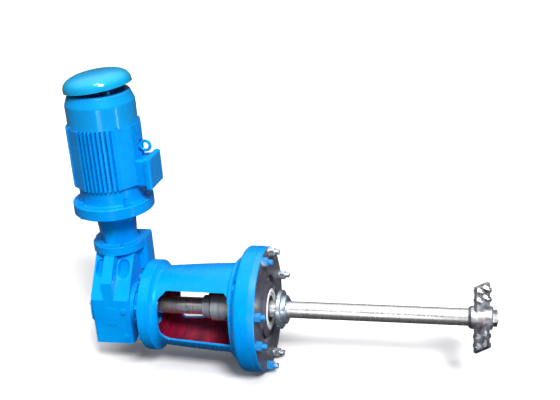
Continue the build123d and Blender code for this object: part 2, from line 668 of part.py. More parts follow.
# ---------------------------------------------------------------- mounting plate, its ring and fasteners
POCKETS = 6
POCKET_MID_R = 133.0
POCKET_W = 30.0
POCKET_ARC = 44.0
POCKET_DEPTH = 18.0
PLATE_BORE_R = 58.0
GLAND_SCREW_R = 80.0
STUD_STARTS = [BOLT_PHASE + 30 * k for k in range(BOLT_COUNT) if k % 3 != 1]
pocket_arc = CenterArc((0, 0), POCKET_MID_R, -POCKET_ARC / 2, POCKET_ARC)
with BuildPart() as mounting_plate:
    with BuildSketch(Plane.XZ):
        with BuildLine():
            Polyline(
                (-PLATE_T, PLATE_BORE_R), (-PLATE_T, 189), (-PLATE_T + 0.2, PLATE_R - 0.2), (-3, PLATE_R),
                (0, PLATE_R - 3), (0, 114), (BOSS_H - 3, 104), (BOSS_H, 94), (BOSS_H, RING_OUT_R + 0.1),
                (2, RING_OUT_R + 0.1), (2, RING_IN_R - 4), (BOSS_H - 2, RING_IN_R - 4),
                (BOSS_H - 2, PLATE_BORE_R), close=True)
        make_face()
    revolve(axis=Axis.X)
    for k in range(POCKETS):
        with BuildSketch(across(0)):
            with Locations(Rotation(0, 0, 40 + 360 / POCKETS * k)):
                SlotArc(pocket_arc, POCKET_W)
        extrude(amount=-POCKET_DEPTH, mode=Mode.SUBTRACT)
    for k in range(BOLT_COUNT):
        place = spots(across(0), BOLT_CIRCLE_R, 1, BOLT_PHASE + 360 / BOLT_COUNT * k)[0]
        with BuildSketch(place):
            Circle(13 if k % 3 == 1 else STUD_R + FIT_GAP)
        extrude(amount=-PLATE_T, mode=Mode.SUBTRACT)
    for place in spots(across(-PLATE_T), GLAND_SCREW_R, 4, 45):
        with BuildSketch(place):
            Circle(5 + FIT_GAP)
        extrude(amount=20, mode=Mode.SUBTRACT)
write(mounting_plate.part, "mounting_plate")

with BuildPart() as seat_ring:
    with BuildSketch(across(2)):
        Circle(RING_OUT_R)
        Circle(RING_IN_R, mode=Mode.SUBTRACT)
    extrude(amount=RING_FACE_X - 2)
    fillet(seat_ring.faces().sort_by(Axis.X)[-1].edges(), 2)
write(seat_ring.part, "seat_ring")

stud_places = [spots(across(0), BOLT_CIRCLE_R, 1, angle)[0] for angle in STUD_STARTS]
with BuildPart() as flange_studs:
    for place in stud_places:
        with BuildSketch(place.offset(-PLATE_T - 42)):
            Circle(STUD_R)
        extrude(amount=PLATE_T + 42 + STUD_REACH)
    chamfer(flange_studs.faces().group_by(Axis.X)[-1].edges(), 1.5)
write(flange_studs.part, "flange_studs")

with BuildPart() as flange_nuts:
    for place in stud_places:
        with BuildSketch(place):
            Circle(22)
            Circle(STUD_R + FIT_GAP, mode=Mode.SUBTRACT)
        extrude(amount=WASHER_T - 0.2)
        with BuildSketch(place.offset(WASHER_T)):
            RegularPolygon(NUT_FLATS / 2, 6, major_radius=False, rotation=20)
            Circle(STUD_R + FIT_GAP, mode=Mode.SUBTRACT)
        extrude(amount=NUT_T)
write(flange_nuts.part, "flange_nuts")

# ---------------------------------------------------------------- shaft seal
GLAND_X0 = -247.0
GLAND_R = 61.0
GLAND_ROOT_R = 62.0
seal_gland = turned_on_x([
    (GLAND_X0, 40), (GLAND_X0, GLAND_R - 2), (GLAND_X0 + 2, GLAND_R), (-124, GLAND_R), (-120, GLAND_ROOT_R),
    (-46, GLAND_ROOT_R), (-46, 96), (-PLATE_T, 96), (-PLATE_T, 52), (-114, 52), (-114, 46),
    (GLAND_X0 + 12, 46), (GLAND_X0 + 12, 40)])
with BuildPart() as gland:
    add(seal_gland)
    for place in spots(across(-46), GLAND_SCREW_R, 4, 45):
        with BuildSketch(place):
            Circle(5 + FIT_GAP)
        extrude(amount=20, mode=Mode.SUBTRACT)
    # slanting sight slot in the front of the gland
    with BuildSketch(Plane.XZ.offset(GLAND_R)):
        with BuildLine():
            Polyline((-204, -50), (-163, -8), (-163, -28), close=True)
        make_face()
    extrude(amount=-44, mode=Mode.SUBTRACT)
write(gland.part, "seal_gland")

gland_screws = hex_screws(
    flipped(spots(across(-46), GLAND_SCREW_R, 4, 45)), 5, 34, 17, 6.5)
write(gland_screws, "gland_screws")
write(ring(across(-62), 24, 51.9, 41), "seal_stationary_ring")
write(turned_on_x([
    (-104, LANTERN_SHAFT_R + 0.1), (-104, 44), (-76, 44), (-76, 49), (-62.4, 49),
    (-62.4, LANTERN_SHAFT_R + 0.1)]), "seal_rotary_ring")

DRIVE_COLLAR_X0 = -287.0
with BuildPart() as seal_drive_collar:
    add(turned_on_x([
        (DRIVE_COLLAR_X0, LANTERN_SHAFT_R + 0.1), (DRIVE_COLLAR_X0, 47), (DRIVE_COLLAR_X0 + 2, 49),
        (DRIVE_COLLAR_X0 + 14, 49), (DRIVE_COLLAR_X0 + 14, 44), (DRIVE_COLLAR_X0 + 18, 44),
        (DRIVE_COLLAR_X0 + 18, 52), (DRIVE_COLLAR_X0 + 32, 52), (DRIVE_COLLAR_X0 + 34, 50),
        (DRIVE_COLLAR_X0 + 34, LANTERN_SHAFT_R + 0.1)]))
write(seal_drive_collar.part, "seal_drive_collar")

# ---------------------------------------------------------------- mixer shaft and impeller hub
SPIGOT_X0 = -700.0
SHOULDER_X = -498.0
HUB_R = 48.0
HUB_SEAT_R = 31.0
PALMS = 3
PALM_W = 74.0
PALM_T = 16.0
PALM_TIP_R = 150.0
PALM_PITCH = 45.0
with BuildPart() as mixer_shaft:
    add(turned_on_x([
        (SPIGOT_X0, 0), (SPIGOT_X0, SPIGOT_R - 2), (SPIGOT_X0 + 2, SPIGOT_R), (SHOULDER_X, SPIGOT_R),
        (SHOULDER_X, LANTERN_SHAFT_R - 1.5), (SHOULDER_X + 1.5, LANTERN_SHAFT_R),
        (-PLATE_T, LANTERN_SHAFT_R), (-PLATE_T + 2, TANK_SHAFT_R), (HUB_X0, TANK_SHAFT_R),
        (HUB_X0, HUB_SEAT_R), (HUB_X0 + HUB_LENGTH, HUB_SEAT_R), (HUB_X0 + HUB_LENGTH, 20),
        (HUB_X0 + HUB_LENGTH + 22, 20), (HUB_X0 + HUB_LENGTH + 22, 0)]))
    with BuildSketch(across(SPIGOT_X0 + 20)):
        with Locations((0, SPIGOT_R - SHAFT_KEY_DEPTH)):
            Rectangle(SHAFT_KEY_W, 2 * SHAFT_KEY_DEPTH, align=(Align.CENTER, Align.MIN))
    extrude(amount=SHAFT_KEY_LENGTH, mode=Mode.SUBTRACT)
write(mixer_shaft.part, "mixer_shaft")

with BuildPart() as shaft_key:
    with BuildSketch(across(SPIGOT_X0 + 20)):
        with Locations((0, SPIGOT_R - SHAFT_KEY_DEPTH)):
            Rectangle(SHAFT_KEY_W, SHAFT_KEY_DEPTH + SHAFT_KEY_PROUD, align=(Align.CENTER, Align.MIN))
    extrude(amount=SHAFT_KEY_LENGTH)
write(shaft_key.part, "shaft_key")

write(turned_on_x([
    (COLLAR_X, TANK_SHAFT_R), (COLLAR_X, COLLAR_R - 5), (COLLAR_X + 3, COLLAR_R),
    (COLLAR_X + 17, COLLAR_R), (COLLAR_X + 21, COLLAR_R - 5), (COLLAR_X + 21, 62), (COLLAR_X + 36, 62),
    (COLLAR_X + 40, 57), (COLLAR_X + 40, TANK_SHAFT_R)]), "shutoff_collar")

PALM_ANGLES = [90 + 120 * k for k in range(PALMS)]
HUB_MID_X = HUB_X0 + HUB_LENGTH / 2 + 2


def palm_plane(angle):
    """Plane of one palm: its x runs outwards from the shaft, its normal is pitched to the axis."""
    out = Vector(0, cos(radians(angle)), sin(radians(angle)))
    along = Vector(1, 0, 0)
    side = along.cross(out)
    normal = along * cos(radians(PALM_PITCH)) + side * sin(radians(PALM_PITCH))
    return Plane(origin=(HUB_MID_X, 0, 0), x_dir=out, z_dir=normal)


with BuildPart() as impeller_hub:
    with BuildSketch(Plane.XZ):
        with BuildLine():
            Polyline(
                (HUB_X0 - 6, TANK_SHAFT_R + 0.1), (HUB_X0 - 6, 40), (HUB_X0 + 6, HUB_R),
                (HUB_X0 + HUB_LENGTH - 4, HUB_R), (HUB_X0 + HUB_LENGTH, HUB_R - 4),
                (HUB_X0 + HUB_LENGTH, HUB_SEAT_R + 0.05), (HUB_X0, HUB_SEAT_R + 0.05),
                (HUB_X0, TANK_SHAFT_R + 0.1), close=True)
        make_face()
    revolve(axis=Axis.X)
    for angle in PALM_ANGLES:
        with BuildSketch(palm_plane(angle).offset(-PALM_T / 2)):
            with Locations((40, 0)):
                Rectangle(PALM_TIP_R - 40, PALM_W, align=(Align.MIN, Align.CENTER))
        extrude(amount=PALM_T)
    with BuildSketch(across(HUB_X0)):
        Circle(HUB_SEAT_R + 0.05)
    extrude(amount=HUB_LENGTH, mode=Mode.SUBTRACT)
    for angle in PALM_ANGLES:
        for out in (84, 126):
            for aside in (-19, 19):
                with BuildSketch(palm_plane(angle).offset(-PALM_T)):
                    with Locations((out, aside)):
                        Circle(8 + FIT_GAP)
                extrude(amount=2 * PALM_T, mode=Mode.SUBTRACT)
write(impeller_hub.part, "impeller_hub")

palm_spots = []
for angle in PALM_ANGLES:
    plane = palm_plane(angle)
    for out in (84, 126):
        for aside in (-19, 19):
            palm_spots.append(Plane(origin=plane.from_local_coords(Vector(out, aside, 0)),
                                    x_dir=plane.x_dir, z_dir=plane.z_dir))
with BuildPart() as palm_bolts:
    for place in palm_spots:
        with BuildSketch(place.offset(-PALM_T / 2)):
            RegularPolygon(12, 6, major_radius=False)
        extrude(amount=-10)
        with BuildSketch(place.offset(-PALM_T / 2)):
            Circle(8)
        extrude(amount=PALM_T + 20)
with BuildPart() as palm_nuts:
    for place in palm_spots:
        with BuildSketch(place.offset(PALM_T / 2)):
            RegularPolygon(12, 6, major_radius=False)
            Circle(8 + FIT_GAP, mode=Mode.SUBTRACT)
        extrude(amount=14)

with BuildPart() as hub_nut:
    with BuildSketch(across(HUB_X0 + HUB_LENGTH)):
        RegularPolygon(30, 6, major_radius=False)
        Circle(20 + FIT_GAP, mode=Mode.SUBTRACT)
    extrude(amount=18)
write(joined(palm_bolts.part, palm_nuts.part, hub_nut.part), "hub_fasteners")

# ---------------------------------------------------------------- adapter and coupling
NECK_BORE_R = 62.0
NECK_FLAT_LOW_R = 70.0
NECK_FLAT_HIGH_R = 89.0
MOTOR_BOLTS = spots(MOTOR.offset(ADAPTER_TOP_Z + FLANGE_T), MOTOR_BOLT_R, 4, 45)
ADAPTER_BASE_Z = CASE_FLANGE_Z
with BuildPart() as motor_adapter:
    with BuildSketch(MOTOR_SECTION):
        with BuildLine():
            Polyline(
                (NECK_BORE_R, ADAPTER_BASE_Z), (ADAPTER_FLANGE_R, ADAPTER_BASE_Z),
                (ADAPTER_FLANGE_R, ADAPTER_BASE_Z + ADAPTER_FLANGE_T - 2),
                (ADAPTER_FLANGE_R - 2, ADAPTER_BASE_Z + ADAPTER_FLANGE_T),
                (92, ADAPTER_BASE_Z + ADAPTER_FLANGE_T), (87, 277), (85, 290), (84, 320), (85, 350),
                (88, 385), (93, 408), (100, 417), (109, 421), (FLANGE_R - 3, 421), (FLANGE_R, 424),
                (FLANGE_R, ADAPTER_TOP_Z), (125.2, ADAPTER_TOP_Z), (125.2, ADAPTER_TOP_Z - 5),
                (NECK_BORE_R + 8, ADAPTER_TOP_Z - 5), (NECK_BORE_R, ADAPTER_TOP_Z - 30), close=True)
        make_face()
    revolve(axis=MOTOR_AXIS)
    # the base flange is squared off behind, like the block of the case under it
    with BuildSketch(MOTOR.offset(ADAPTER_BASE_Z)):
        with Locations((0, REAR_BLOCK_Y)):
            RectangleRounded(REAR_BLOCK_W, REAR_BLOCK_D, REAR_BLOCK_CORNER_R)
        Circle(NECK_BORE_R, mode=Mode.SUBTRACT)
    extrude(amount=ADAPTER_FLANGE_T)
    # four flats on the neck, leaning in towards the base
    for angle in range(38, 360, 90):
        outward = Vector(cos(radians(angle)), sin(radians(angle)), 0)
        with BuildSketch(Plane(origin=MOTOR.origin, x_dir=outward, z_dir=(outward.Y, -outward.X, 0))):
            with BuildLine():
                Polyline((NECK_FLAT_LOW_R, 276), (NECK_FLAT_HIGH_R, 412), (130, 412), (130, 276), close=True)
            make_face()
        extrude(amount=60, both=True, mode=Mode.SUBTRACT)
    for place in spots(MOTOR.offset(ADAPTER_TOP_Z), MOTOR_BOLT_R, 4, 45):
        with BuildSketch(place):
            Circle(8 + FIT_GAP)
        extrude(amount=-FLANGE_T, mode=Mode.SUBTRACT)
    for place in adapter_screw_places(ADAPTER_BASE_Z + ADAPTER_FLANGE_T):
        with BuildSketch(place):
            Circle(6 + FIT_GAP)
        extrude(amount=-ADAPTER_FLANGE_T, mode=Mode.SUBTRACT)
        with BuildSketch(place):
            Circle(13)
        extrude(amount=22, mode=Mode.SUBTRACT)
write(motor_adapter.part, "motor_adapter")
write(hex_screws(adapter_screw_places(ADAPTER_BASE_Z + ADAPTER_FLANGE_T), 6, 34, 19, 8), "adapter_screws")

COUPLING_R = 52.0
JAWS = 3
COUPLING_MID_Z = 330.0
SPIDER_HALF = 9.0
JAW_MID_R = 36.0
jaw_arc = CenterArc((0, 0), JAW_MID_R, -7, 14)
spider_arc = CenterArc((0, 0), JAW_MID_R, -8, 16)
for name, z0, z1, bore_r in (
    ("coupling_hub_worm", 286.0, COUPLING_MID_Z - SPIDER_HALF, 17.5),
    ("coupling_hub_motor", COUPLING_MID_Z + SPIDER_HALF, 374.0, 21.0),
):
    low = name == "coupling_hub_worm"
    with BuildPart() as coupling_hub:
        with BuildSketch(MOTOR.offset(z0)):
            Circle(COUPLING_R)
        extrude(amount=z1 - z0)
        # three jaws that reach into the gaps of the spider
        for k in range(JAWS):
            with BuildSketch(MOTOR.offset(z1 if low else z0)):
                with Locations(Rotation(0, 0, 120 * k + (0 if low else 60))):
                    SlotArc(jaw_arc, 18)
            extrude(amount=(2 * SPIDER_HALF - 2) * (1 if low else -1))
        with BuildSketch(MOTOR.offset(z0 - 20)):
            Circle(bore_r + 0.05)
        extrude(amount=z1 - z0 + 40, mode=Mode.SUBTRACT)
    write(coupling_hub.part, name)

with BuildPart() as coupling_spider:
    with BuildSketch(MOTOR.offset(COUPLING_MID_Z - SPIDER_HALF + 0.5)):
        Circle(50)
        Circle(22, mode=Mode.SUBTRACT)
    extrude(amount=2 * SPIDER_HALF - 1)
    for k in range(2 * JAWS):
        with BuildSketch(MOTOR.offset(COUPLING_MID_Z - SPIDER_HALF)):
            with Locations(Rotation(0, 0, 60 * k)):
                SlotArc(spider_arc, 18.6)
        extrude(amount=2 * SPIDER_HALF, mode=Mode.SUBTRACT)
write(coupling_spider.part, "coupling_spider")

# ---------------------------------------------------------------- motor
MOTOR_BEARING_R = 50.0
MOTOR_BEARING_W = 25.0
MOTOR_JOURNAL_R = 22.5
LOW_BEARING_Z = 462.0
HIGH_BEARING_Z = 772.0
CORE_Z0 = 560.0
CORE_Z1 = 740.0
ROTOR_R = 84.5
motor_low = bearing(MOTOR.offset(LOW_BEARING_Z), MOTOR_BEARING_W, MOTOR_BEARING_R, MOTOR_JOURNAL_R, 8.5, 8)
motor_high = bearing(MOTOR.offset(HIGH_BEARING_Z), MOTOR_BEARING_W, MOTOR_BEARING_R, MOTOR_JOURNAL_R, 8.5, 8)
write(joined(motor_low[0], motor_high[0]), "motor_bearing_outers")
write(joined(motor_low[1], motor_high[1]), "motor_bearing_inners")
write(joined(motor_low[2], motor_high[2]), "motor_bearing_balls")

write(turned_on_motor([
    (0, 336), (20, 336), (21, 337), (21, 448), (MOTOR_JOURNAL_R, 448),
    (MOTOR_JOURNAL_R, LOW_BEARING_Z + 25), (28, LOW_BEARING_Z + 25), (28, 545), (31, 545), (31, 752),
    (28, 752), (28, HIGH_BEARING_Z), (MOTOR_JOURNAL_R, HIGH_BEARING_Z), (MOTOR_JOURNAL_R, 806),
    (19, 806), (19, 884), (0, 884)]), "motor_shaft")
write(turned_on_motor([
    (31.05, CORE_Z0), (ROTOR_R, CORE_Z0), (ROTOR_R, CORE_Z1), (31.05, CORE_Z1)]), "rotor_core")
write(ring(MOTOR.offset(CORE_Z0), CORE_Z1 - CORE_Z0, STATOR_R - 0.1, ROTOR_R + 0.8), "stator_core")
low_winding = ring(MOTOR.offset(524), CORE_Z0 - 524.5, 121, 92)
high_winding = ring(MOTOR.offset(CORE_Z1 + 0.5), 24, 121, 92)
write(joined(low_winding, high_winding), "stator_windings")

# drive-end shield: bell, bearing seat and the round flange that sits on the adapter
SHIELD_FLANGE_Z = ADAPTER_TOP_Z + FLANGE_T
with BuildPart() as drive_end_shield:
    with BuildSketch(MOTOR_SECTION):
        with BuildLine():
            Polyline(
                (29, 447), (60, 447), (60, 441.2), (125, 441.2), (125, ADAPTER_TOP_Z),
                (FLANGE_R, ADAPTER_TOP_Z), (FLANGE_R, SHIELD_FLANGE_Z - 3), (FLANGE_R - 3, SHIELD_FLANGE_Z),
                (151, SHIELD_FLANGE_Z), (146, 473), (142.5, 477), (141, 484), (140, 500), (140, FRAME_Z0),
                (STATOR_R - 0.2, FRAME_Z0), (STATOR_R - 0.2, FRAME_Z0 + 5), (124, FRAME_Z0 + 5), (124, 490),
                (100, 462), (62, 462), (62, 488), (MOTOR_BEARING_R, 488), (MOTOR_BEARING_R, LOW_BEARING_Z),
                (29, LOW_BEARING_Z), close=True)
        make_face()
    revolve(axis=MOTOR_AXIS)
    for place in spots(MOTOR.offset(SHIELD_FLANGE_Z), MOTOR_BOLT_R, 4, 45):
        with BuildSketch(place):
            Circle(8 + FIT_GAP)
        extrude(amount=-FLANGE_T, mode=Mode.SUBTRACT)
        with BuildSketch(place):
            Circle(17)
        extrude(amount=30, mode=Mode.SUBTRACT)
write(drive_end_shield.part, "drive_end_shield")

bolt_set = hex_screws(MOTOR_BOLTS, 8, 66, 24, 10)
with BuildPart() as motor_nuts:
    for place in spots(MOTOR.offset(421), MOTOR_BOLT_R, 4, 45):
        with BuildSketch(place):
            RegularPolygon(12, 6, major_radius=False)
            Circle(8 + FIT_GAP, mode=Mode.SUBTRACT)
        extrude(amount=-13)
write(joined(bolt_set, motor_nuts.part), "motor_flange_bolts")

with BuildPart() as non_drive_end_shield:
    with BuildSketch(MOTOR_SECTION):
        with BuildLine():
            Polyline(
                (24, 800), (24, 797.2), (MOTOR_BEARING_R, 797.2), (MOTOR_BEARING_R, 770), (62, 770),
                (62, 797), (STATOR_R - 8, 797), (STATOR_R - 8, 802), (STATOR_R - 0.2, 802),
                (STATOR_R - 0.2, FRAME_Z1), (145.2, FRAME_Z1), (145.2, 819), (132, 819), (126, 808),
                (66, 808), (62, 814), (24, 814), close=True)
        make_face()
    revolve(axis=MOTOR_AXIS)
    for place in spots(MOTOR, 145.2, 4, 45):
        outward = Vector(place.origin.X - MOTOR_X, place.origin.Y - CENTRE_DISTANCE, 0)
        with BuildSketch(Plane(origin=place.origin + Vector(0, 0, 813), x_dir=(0, 0, 1), z_dir=outward)):
            Circle(3 + FIT_GAP)
        extrude(amount=-11, mode=Mode.SUBTRACT)
write(non_drive_end_shield.part, "non_drive_end_shield")

# finned frame: four groups of parallel fins with plain pads on the corners between them
FIN_T = 9.0
FIN_PITCH = 18.6
FIN_SHIFT = -19.0       # each group of fins sits off centre, towards the next pad
FINS = 9
FRAME_H = FRAME_Z1 - FRAME_Z0
PAD_OUT_R = 151.0
PAD_W = 86.0
PAD_TURN = 6.3
BOX_Y = CENTRE_DISTANCE
BOX_Z = 597.0
BOX_W = 120.0
BOX_H = 118.0
BOX_BASE_X = MOTOR_X + 148.0
BOX_FACE_X = -492.0
LID_FACE_X = -472.0
EYE_Z = 704.0
EYE_X = -508.0
EYE_SHANK_R = 8.0
EYE_SEAT_X = -538.0
with BuildPart() as motor_frame:
    with BuildSketch(MOTOR.offset(FRAME_Z0)):
        Circle(FRAME_R)
        for quarter in range(4):
            with Locations(Rotation(0, 0, 90 * quarter)):
                with Locations((FIN_SHIFT, 0)):
                    with GridLocations(FIN_PITCH, 0, FINS, 1):
                        Rectangle(FIN_T, FIN_R, align=(Align.CENTER, Align.MIN))
            with Locations(Rotation(0, 0, 45 + PAD_TURN + 90 * quarter)):
                Rectangle(PAD_OUT_R, PAD_W, align=(Align.MIN, Align.CENTER))
        Circle(FIN_R, mode=Mode.INTERSECT)
    extrude(amount=FRAME_H)
    # seat of the terminal box and boss of the eyebolt
    with BuildSketch(Plane.YZ.offset(MOTOR_X + 100)):
        with Locations((BOX_Y, BOX_Z)):
            RectangleRounded(BOX_W - 8, 2 * (BOX_Z - FRAME_Z0), 8)
    extrude(amount=BOX_BASE_X - MOTOR_X - 100)
    with BuildSketch(Plane.YZ.offset(MOTOR_X + 100)):
        with Locations((BOX_Y, EYE_Z)):
            Circle(20)
    extrude(amount=EYE_SEAT_X - MOTOR_X - 100)
    with BuildSketch(MOTOR.offset(FRAME_Z0)):
        Circle(STATOR_R)
    extrude(amount=FRAME_H, mode=Mode.SUBTRACT)
    # the fins stop short of the terminal box and of the eyebolt
    with BuildSketch(Plane.YZ.offset(BOX_BASE_X)):
        with Locations((BOX_Y, BOX_Z)):
            RectangleRounded(BOX_W + 1, BOX_H + 1, 10)
    extrude(amount=20, mode=Mode.SUBTRACT)
    with BuildSketch(Plane.YZ.offset(EYE_SEAT_X)):
        with Locations((BOX_Y, EYE_Z)):
            Circle(28)
    extrude(amount=20, mode=Mode.SUBTRACT)
    with BuildSketch(Plane.YZ.offset(EYE_SEAT_X)):
        with Locations((BOX_Y, EYE_Z)):
            Circle(EYE_SHANK_R + FIT_GAP)
    extrude(amount=-19, mode=Mode.SUBTRACT)
    with BuildSketch(Plane.YZ.offset(BOX_BASE_X)):
        with Locations((BOX_Y, BOX_Z)):
            Circle(16)
    extrude(amount=-24, mode=Mode.SUBTRACT)
write(motor_frame.part, "motor_frame")

BOX_WALL = 5.0
with BuildPart() as terminal_box:
    with BuildSketch(Plane.YZ.offset(BOX_BASE_X)):
        with Locations((BOX_Y, BOX_Z)):
            RectangleRounded(BOX_W, BOX_H, 10)
    extrude(amount=BOX_FACE_X - BOX_BASE_X)
    with BuildSketch(Plane.YZ.offset(BOX_FACE_X - 6)):
        with Locations((BOX_Y, BOX_Z)):
            RectangleRounded(BOX_W + 22, BOX_H + 14, 10)
    extrude(amount=6)
    with BuildSketch(Plane.YZ.offset(BOX_FACE_X)):
        with Locations((BOX_Y, BOX_Z)):
            RectangleRounded(BOX_W - 2 * BOX_WALL, BOX_H - 2 * BOX_WALL, 6)
    extrude(amount=-(BOX_FACE_X - BOX_BASE_X - BOX_WALL), mode=Mode.SUBTRACT)
    with BuildSketch(Plane.YZ.offset(BOX_FACE_X)):
        with Locations((BOX_Y, BOX_Z)):
            with GridLocations(BOX_W + 8, BOX_H + 2, 2, 2):
                Circle(2.5 + FIT_GAP)
    extrude(amount=-6, mode=Mode.SUBTRACT)
    with BuildSketch(Plane.YZ.offset(BOX_BASE_X)):
        with Locations((BOX_Y, BOX_Z)):
            Circle(16)
    extrude(amount=BOX_WALL, mode=Mode.SUBTRACT)
write(terminal_box.part, "terminal_box")

with BuildPart() as terminal_box_lid:
    with BuildSketch(Plane.YZ.offset(BOX_FACE_X)):
        with Locations((BOX_Y, BOX_Z)):
            RectangleRounded(150, 140, 9)
    extrude(amount=LID_FACE_X - BOX_FACE_X)
    chamfer(terminal_box_lid.faces().sort_by(Axis.X)[-1].edges(), 6)
    with BuildSketch(Plane.YZ.offset(BOX_FACE_X)):
        with Locations((BOX_Y, BOX_Z)):
            RectangleRounded(BOX_W - 12, BOX_H - 12, 6)
    extrude(amount=LID_FACE_X - BOX_FACE_X - 6, mode=Mode.SUBTRACT)
    with BuildSketch(Plane.YZ.offset(LID_FACE_X)):
        with Locations((BOX_Y, BOX_Z)):
            with GridLocations(BOX_W + 8, BOX_H + 2, 2, 2):
                Circle(5)
    extrude(amount=-8, mode=Mode.SUBTRACT)
    with BuildSketch(Plane.YZ.offset(LID_FACE_X)):
        with Locations((BOX_Y, BOX_Z)):
            with GridLocations(BOX_W + 8, BOX_H + 2, 2, 2):
                Circle(2.5 + FIT_GAP)
    extrude(amount=-(LID_FACE_X - BOX_FACE_X), mode=Mode.SUBTRACT)
write(terminal_box_lid.part, "terminal_box_lid")

with BuildPart() as terminal_box_screws:
    with BuildSketch(Plane.YZ.offset(LID_FACE_X - 8)):
        with Locations((BOX_Y, BOX_Z)):
            with GridLocations(BOX_W + 8, BOX_H + 2, 2, 2):
                Circle(4.6)
    extrude(amount=4)
    with BuildSketch(Plane.YZ.offset(LID_FACE_X - 8)):
        with Locations((BOX_Y, BOX_Z)):
            with GridLocations(BOX_W + 8, BOX_H + 2, 2, 2):
                Circle(2.5)
    extrude(amount=-16)
    with BuildSketch(Plane.YZ.offset(LID_FACE_X - 4)):
        with Locations((BOX_Y, BOX_Z)):
            with GridLocations(BOX_W + 8, BOX_H + 2, 2, 2):
                Rectangle(7, 1.2)
    extrude(amount=-1.5, mode=Mode.SUBTRACT)

with BuildPart() as terminal_board:
    with BuildSketch(Plane.YZ.offset(BOX_BASE_X + BOX_WALL)):
        with Locations((BOX_Y, BOX_Z + 2)):
            RectangleRounded(82, 44, 3)
            with Locations((0, 0)):
                Circle(13, mode=Mode.SUBTRACT)
    extrude(amount=9)
    with BuildSketch(Plane.YZ.offset(BOX_BASE_X + BOX_WALL + 9)):
        with Locations((BOX_Y, BOX_Z + 2)):
            with GridLocations(30, 32, 3, 2):
                Circle(3)
    extrude(amount=14)
write(terminal_board.part, "terminal_board")

EYE_RING_R = 20.5
EYE_WIRE_R = 6.8
with BuildPart() as lifting_eyebolt:
    with Locations(Location((EYE_X, BOX_Y, EYE_Z), (90, 0, 0))):
        Torus(EYE_RING_R, EYE_WIRE_R)
    with BuildSketch(Plane.YZ.offset(EYE_SEAT_X)):
        with Locations((BOX_Y, EYE_Z)):
            Circle(13)
    extrude(amount=5)
    with BuildSketch(Plane.YZ.offset(EYE_X - EYE_RING_R)):
        with Locations((BOX_Y, EYE_Z)):
            Circle(EYE_SHANK_R)
    extrude(amount=-27)
write(lifting_eyebolt.part, "lifting_eyebolt")

FAN_Z = 836.0
BLADES = 9
with BuildPart() as cooling_fan:
    with BuildSketch(MOTOR.offset(FAN_Z)):
        Circle(118)
        Circle(19.05, mode=Mode.SUBTRACT)
    extrude(amount=4)
    with BuildSketch(MOTOR.offset(FAN_Z)):
        Circle(32)
        Circle(19.05, mode=Mode.SUBTRACT)
    extrude(amount=44)
    for k in range(BLADES):
        with BuildSketch(MOTOR.offset(FAN_Z + 4)):
            with Locations(Rotation(0, 0, 360 / BLADES * k)):
                with Locations((31, 0)):
                    Rectangle(86, 5, align=(Align.MIN, Align.CENTER))
        extrude(amount=38)
write(cooling_fan.part, "cooling_fan")

SHEET = 2.5
COWL_BASE_Z = FRAME_Z1 + 0.2
SLOTS = 28
with BuildPart() as fan_cowl:
    with BuildSketch(MOTOR_SECTION):
        with BuildLine():
            Polyline(
                (COWL_R - SHEET, COWL_BASE_Z), (COWL_R, COWL_BASE_Z), (COWL_R, COWL_SHOULDER_Z - 4),
                (COWL_R - 1, COWL_SHOULDER_Z + 2), (COWL_TOP_R + 1, COWL_TOP_Z - 6),
                (COWL_TOP_R - 4, COWL_TOP_Z), (0, COWL_TOP_Z), (0, COWL_TOP_Z - SHEET),
                (COWL_TOP_R - 5, COWL_TOP_Z - SHEET),
                (COWL_TOP_R - 2, COWL_TOP_Z - 8), (COWL_R - 4, COWL_SHOULDER_Z),
                (COWL_R - SHEET, COWL_SHOULDER_Z - 6), close=True)
        make_face()
    revolve(axis=MOTOR_AXIS)
    # air slots in the top, in two rings
    for middle_r, width, count in ((95, 44, SLOTS), (42, 30, SLOTS // 2)):
        for k in range(count):
            with BuildSketch(MOTOR.offset(COWL_TOP_Z - 5)):
                with Locations(Rotation(0, 0, 360 / count * (k + 0.5))):
                    with Locations((middle_r, 0)):
                        SlotOverall(width, 8)
            extrude(amount=8, mode=Mode.SUBTRACT)
    for place in spots(MOTOR, COWL_R, 4, 45):
        outward = Vector(place.origin.X - MOTOR_X, place.origin.Y - CENTRE_DISTANCE, 0)
        with BuildSketch(Plane(origin=place.origin + Vector(0, 0, 813), x_dir=(0, 0, 1), z_dir=outward)):
            Circle(3 + FIT_GAP)
        extrude(amount=-5, mode=Mode.SUBTRACT)
write(fan_cowl.part, "fan_cowl")

screw_places = []
for place in spots(MOTOR, COWL_R + 0.1, 4, 45):
    outward = Vector(place.origin.X - MOTOR_X, place.origin.Y - CENTRE_DISTANCE, 0)
    screw_places.append(Plane(origin=place.origin + Vector(0, 0, 813), x_dir=(0, 0, 1), z_dir=outward))
write(joined(hex_screws(screw_places, 3, 10, 10, 4), terminal_box_screws.part), "motor_cover_screws")

POST_R = 108.0
HOOD_ROUNDNESS = 2.7    # 2 gives an ellipse, more gives a flatter top and a fuller shoulder
HOOD_STEPS = 16
HOOD_TILT = 6.0


def dome_z(radius, inward=0.0):
    """Height of the hood's skin at a radius from the motor axis."""
    reach = radius / (HOOD_R - inward)
    height = HOOD_TOP_Z - HOOD_RIM_Z - inward
    return HOOD_RIM_Z + height * (1 - reach ** HOOD_ROUNDNESS) ** (1 / HOOD_ROUNDNESS)


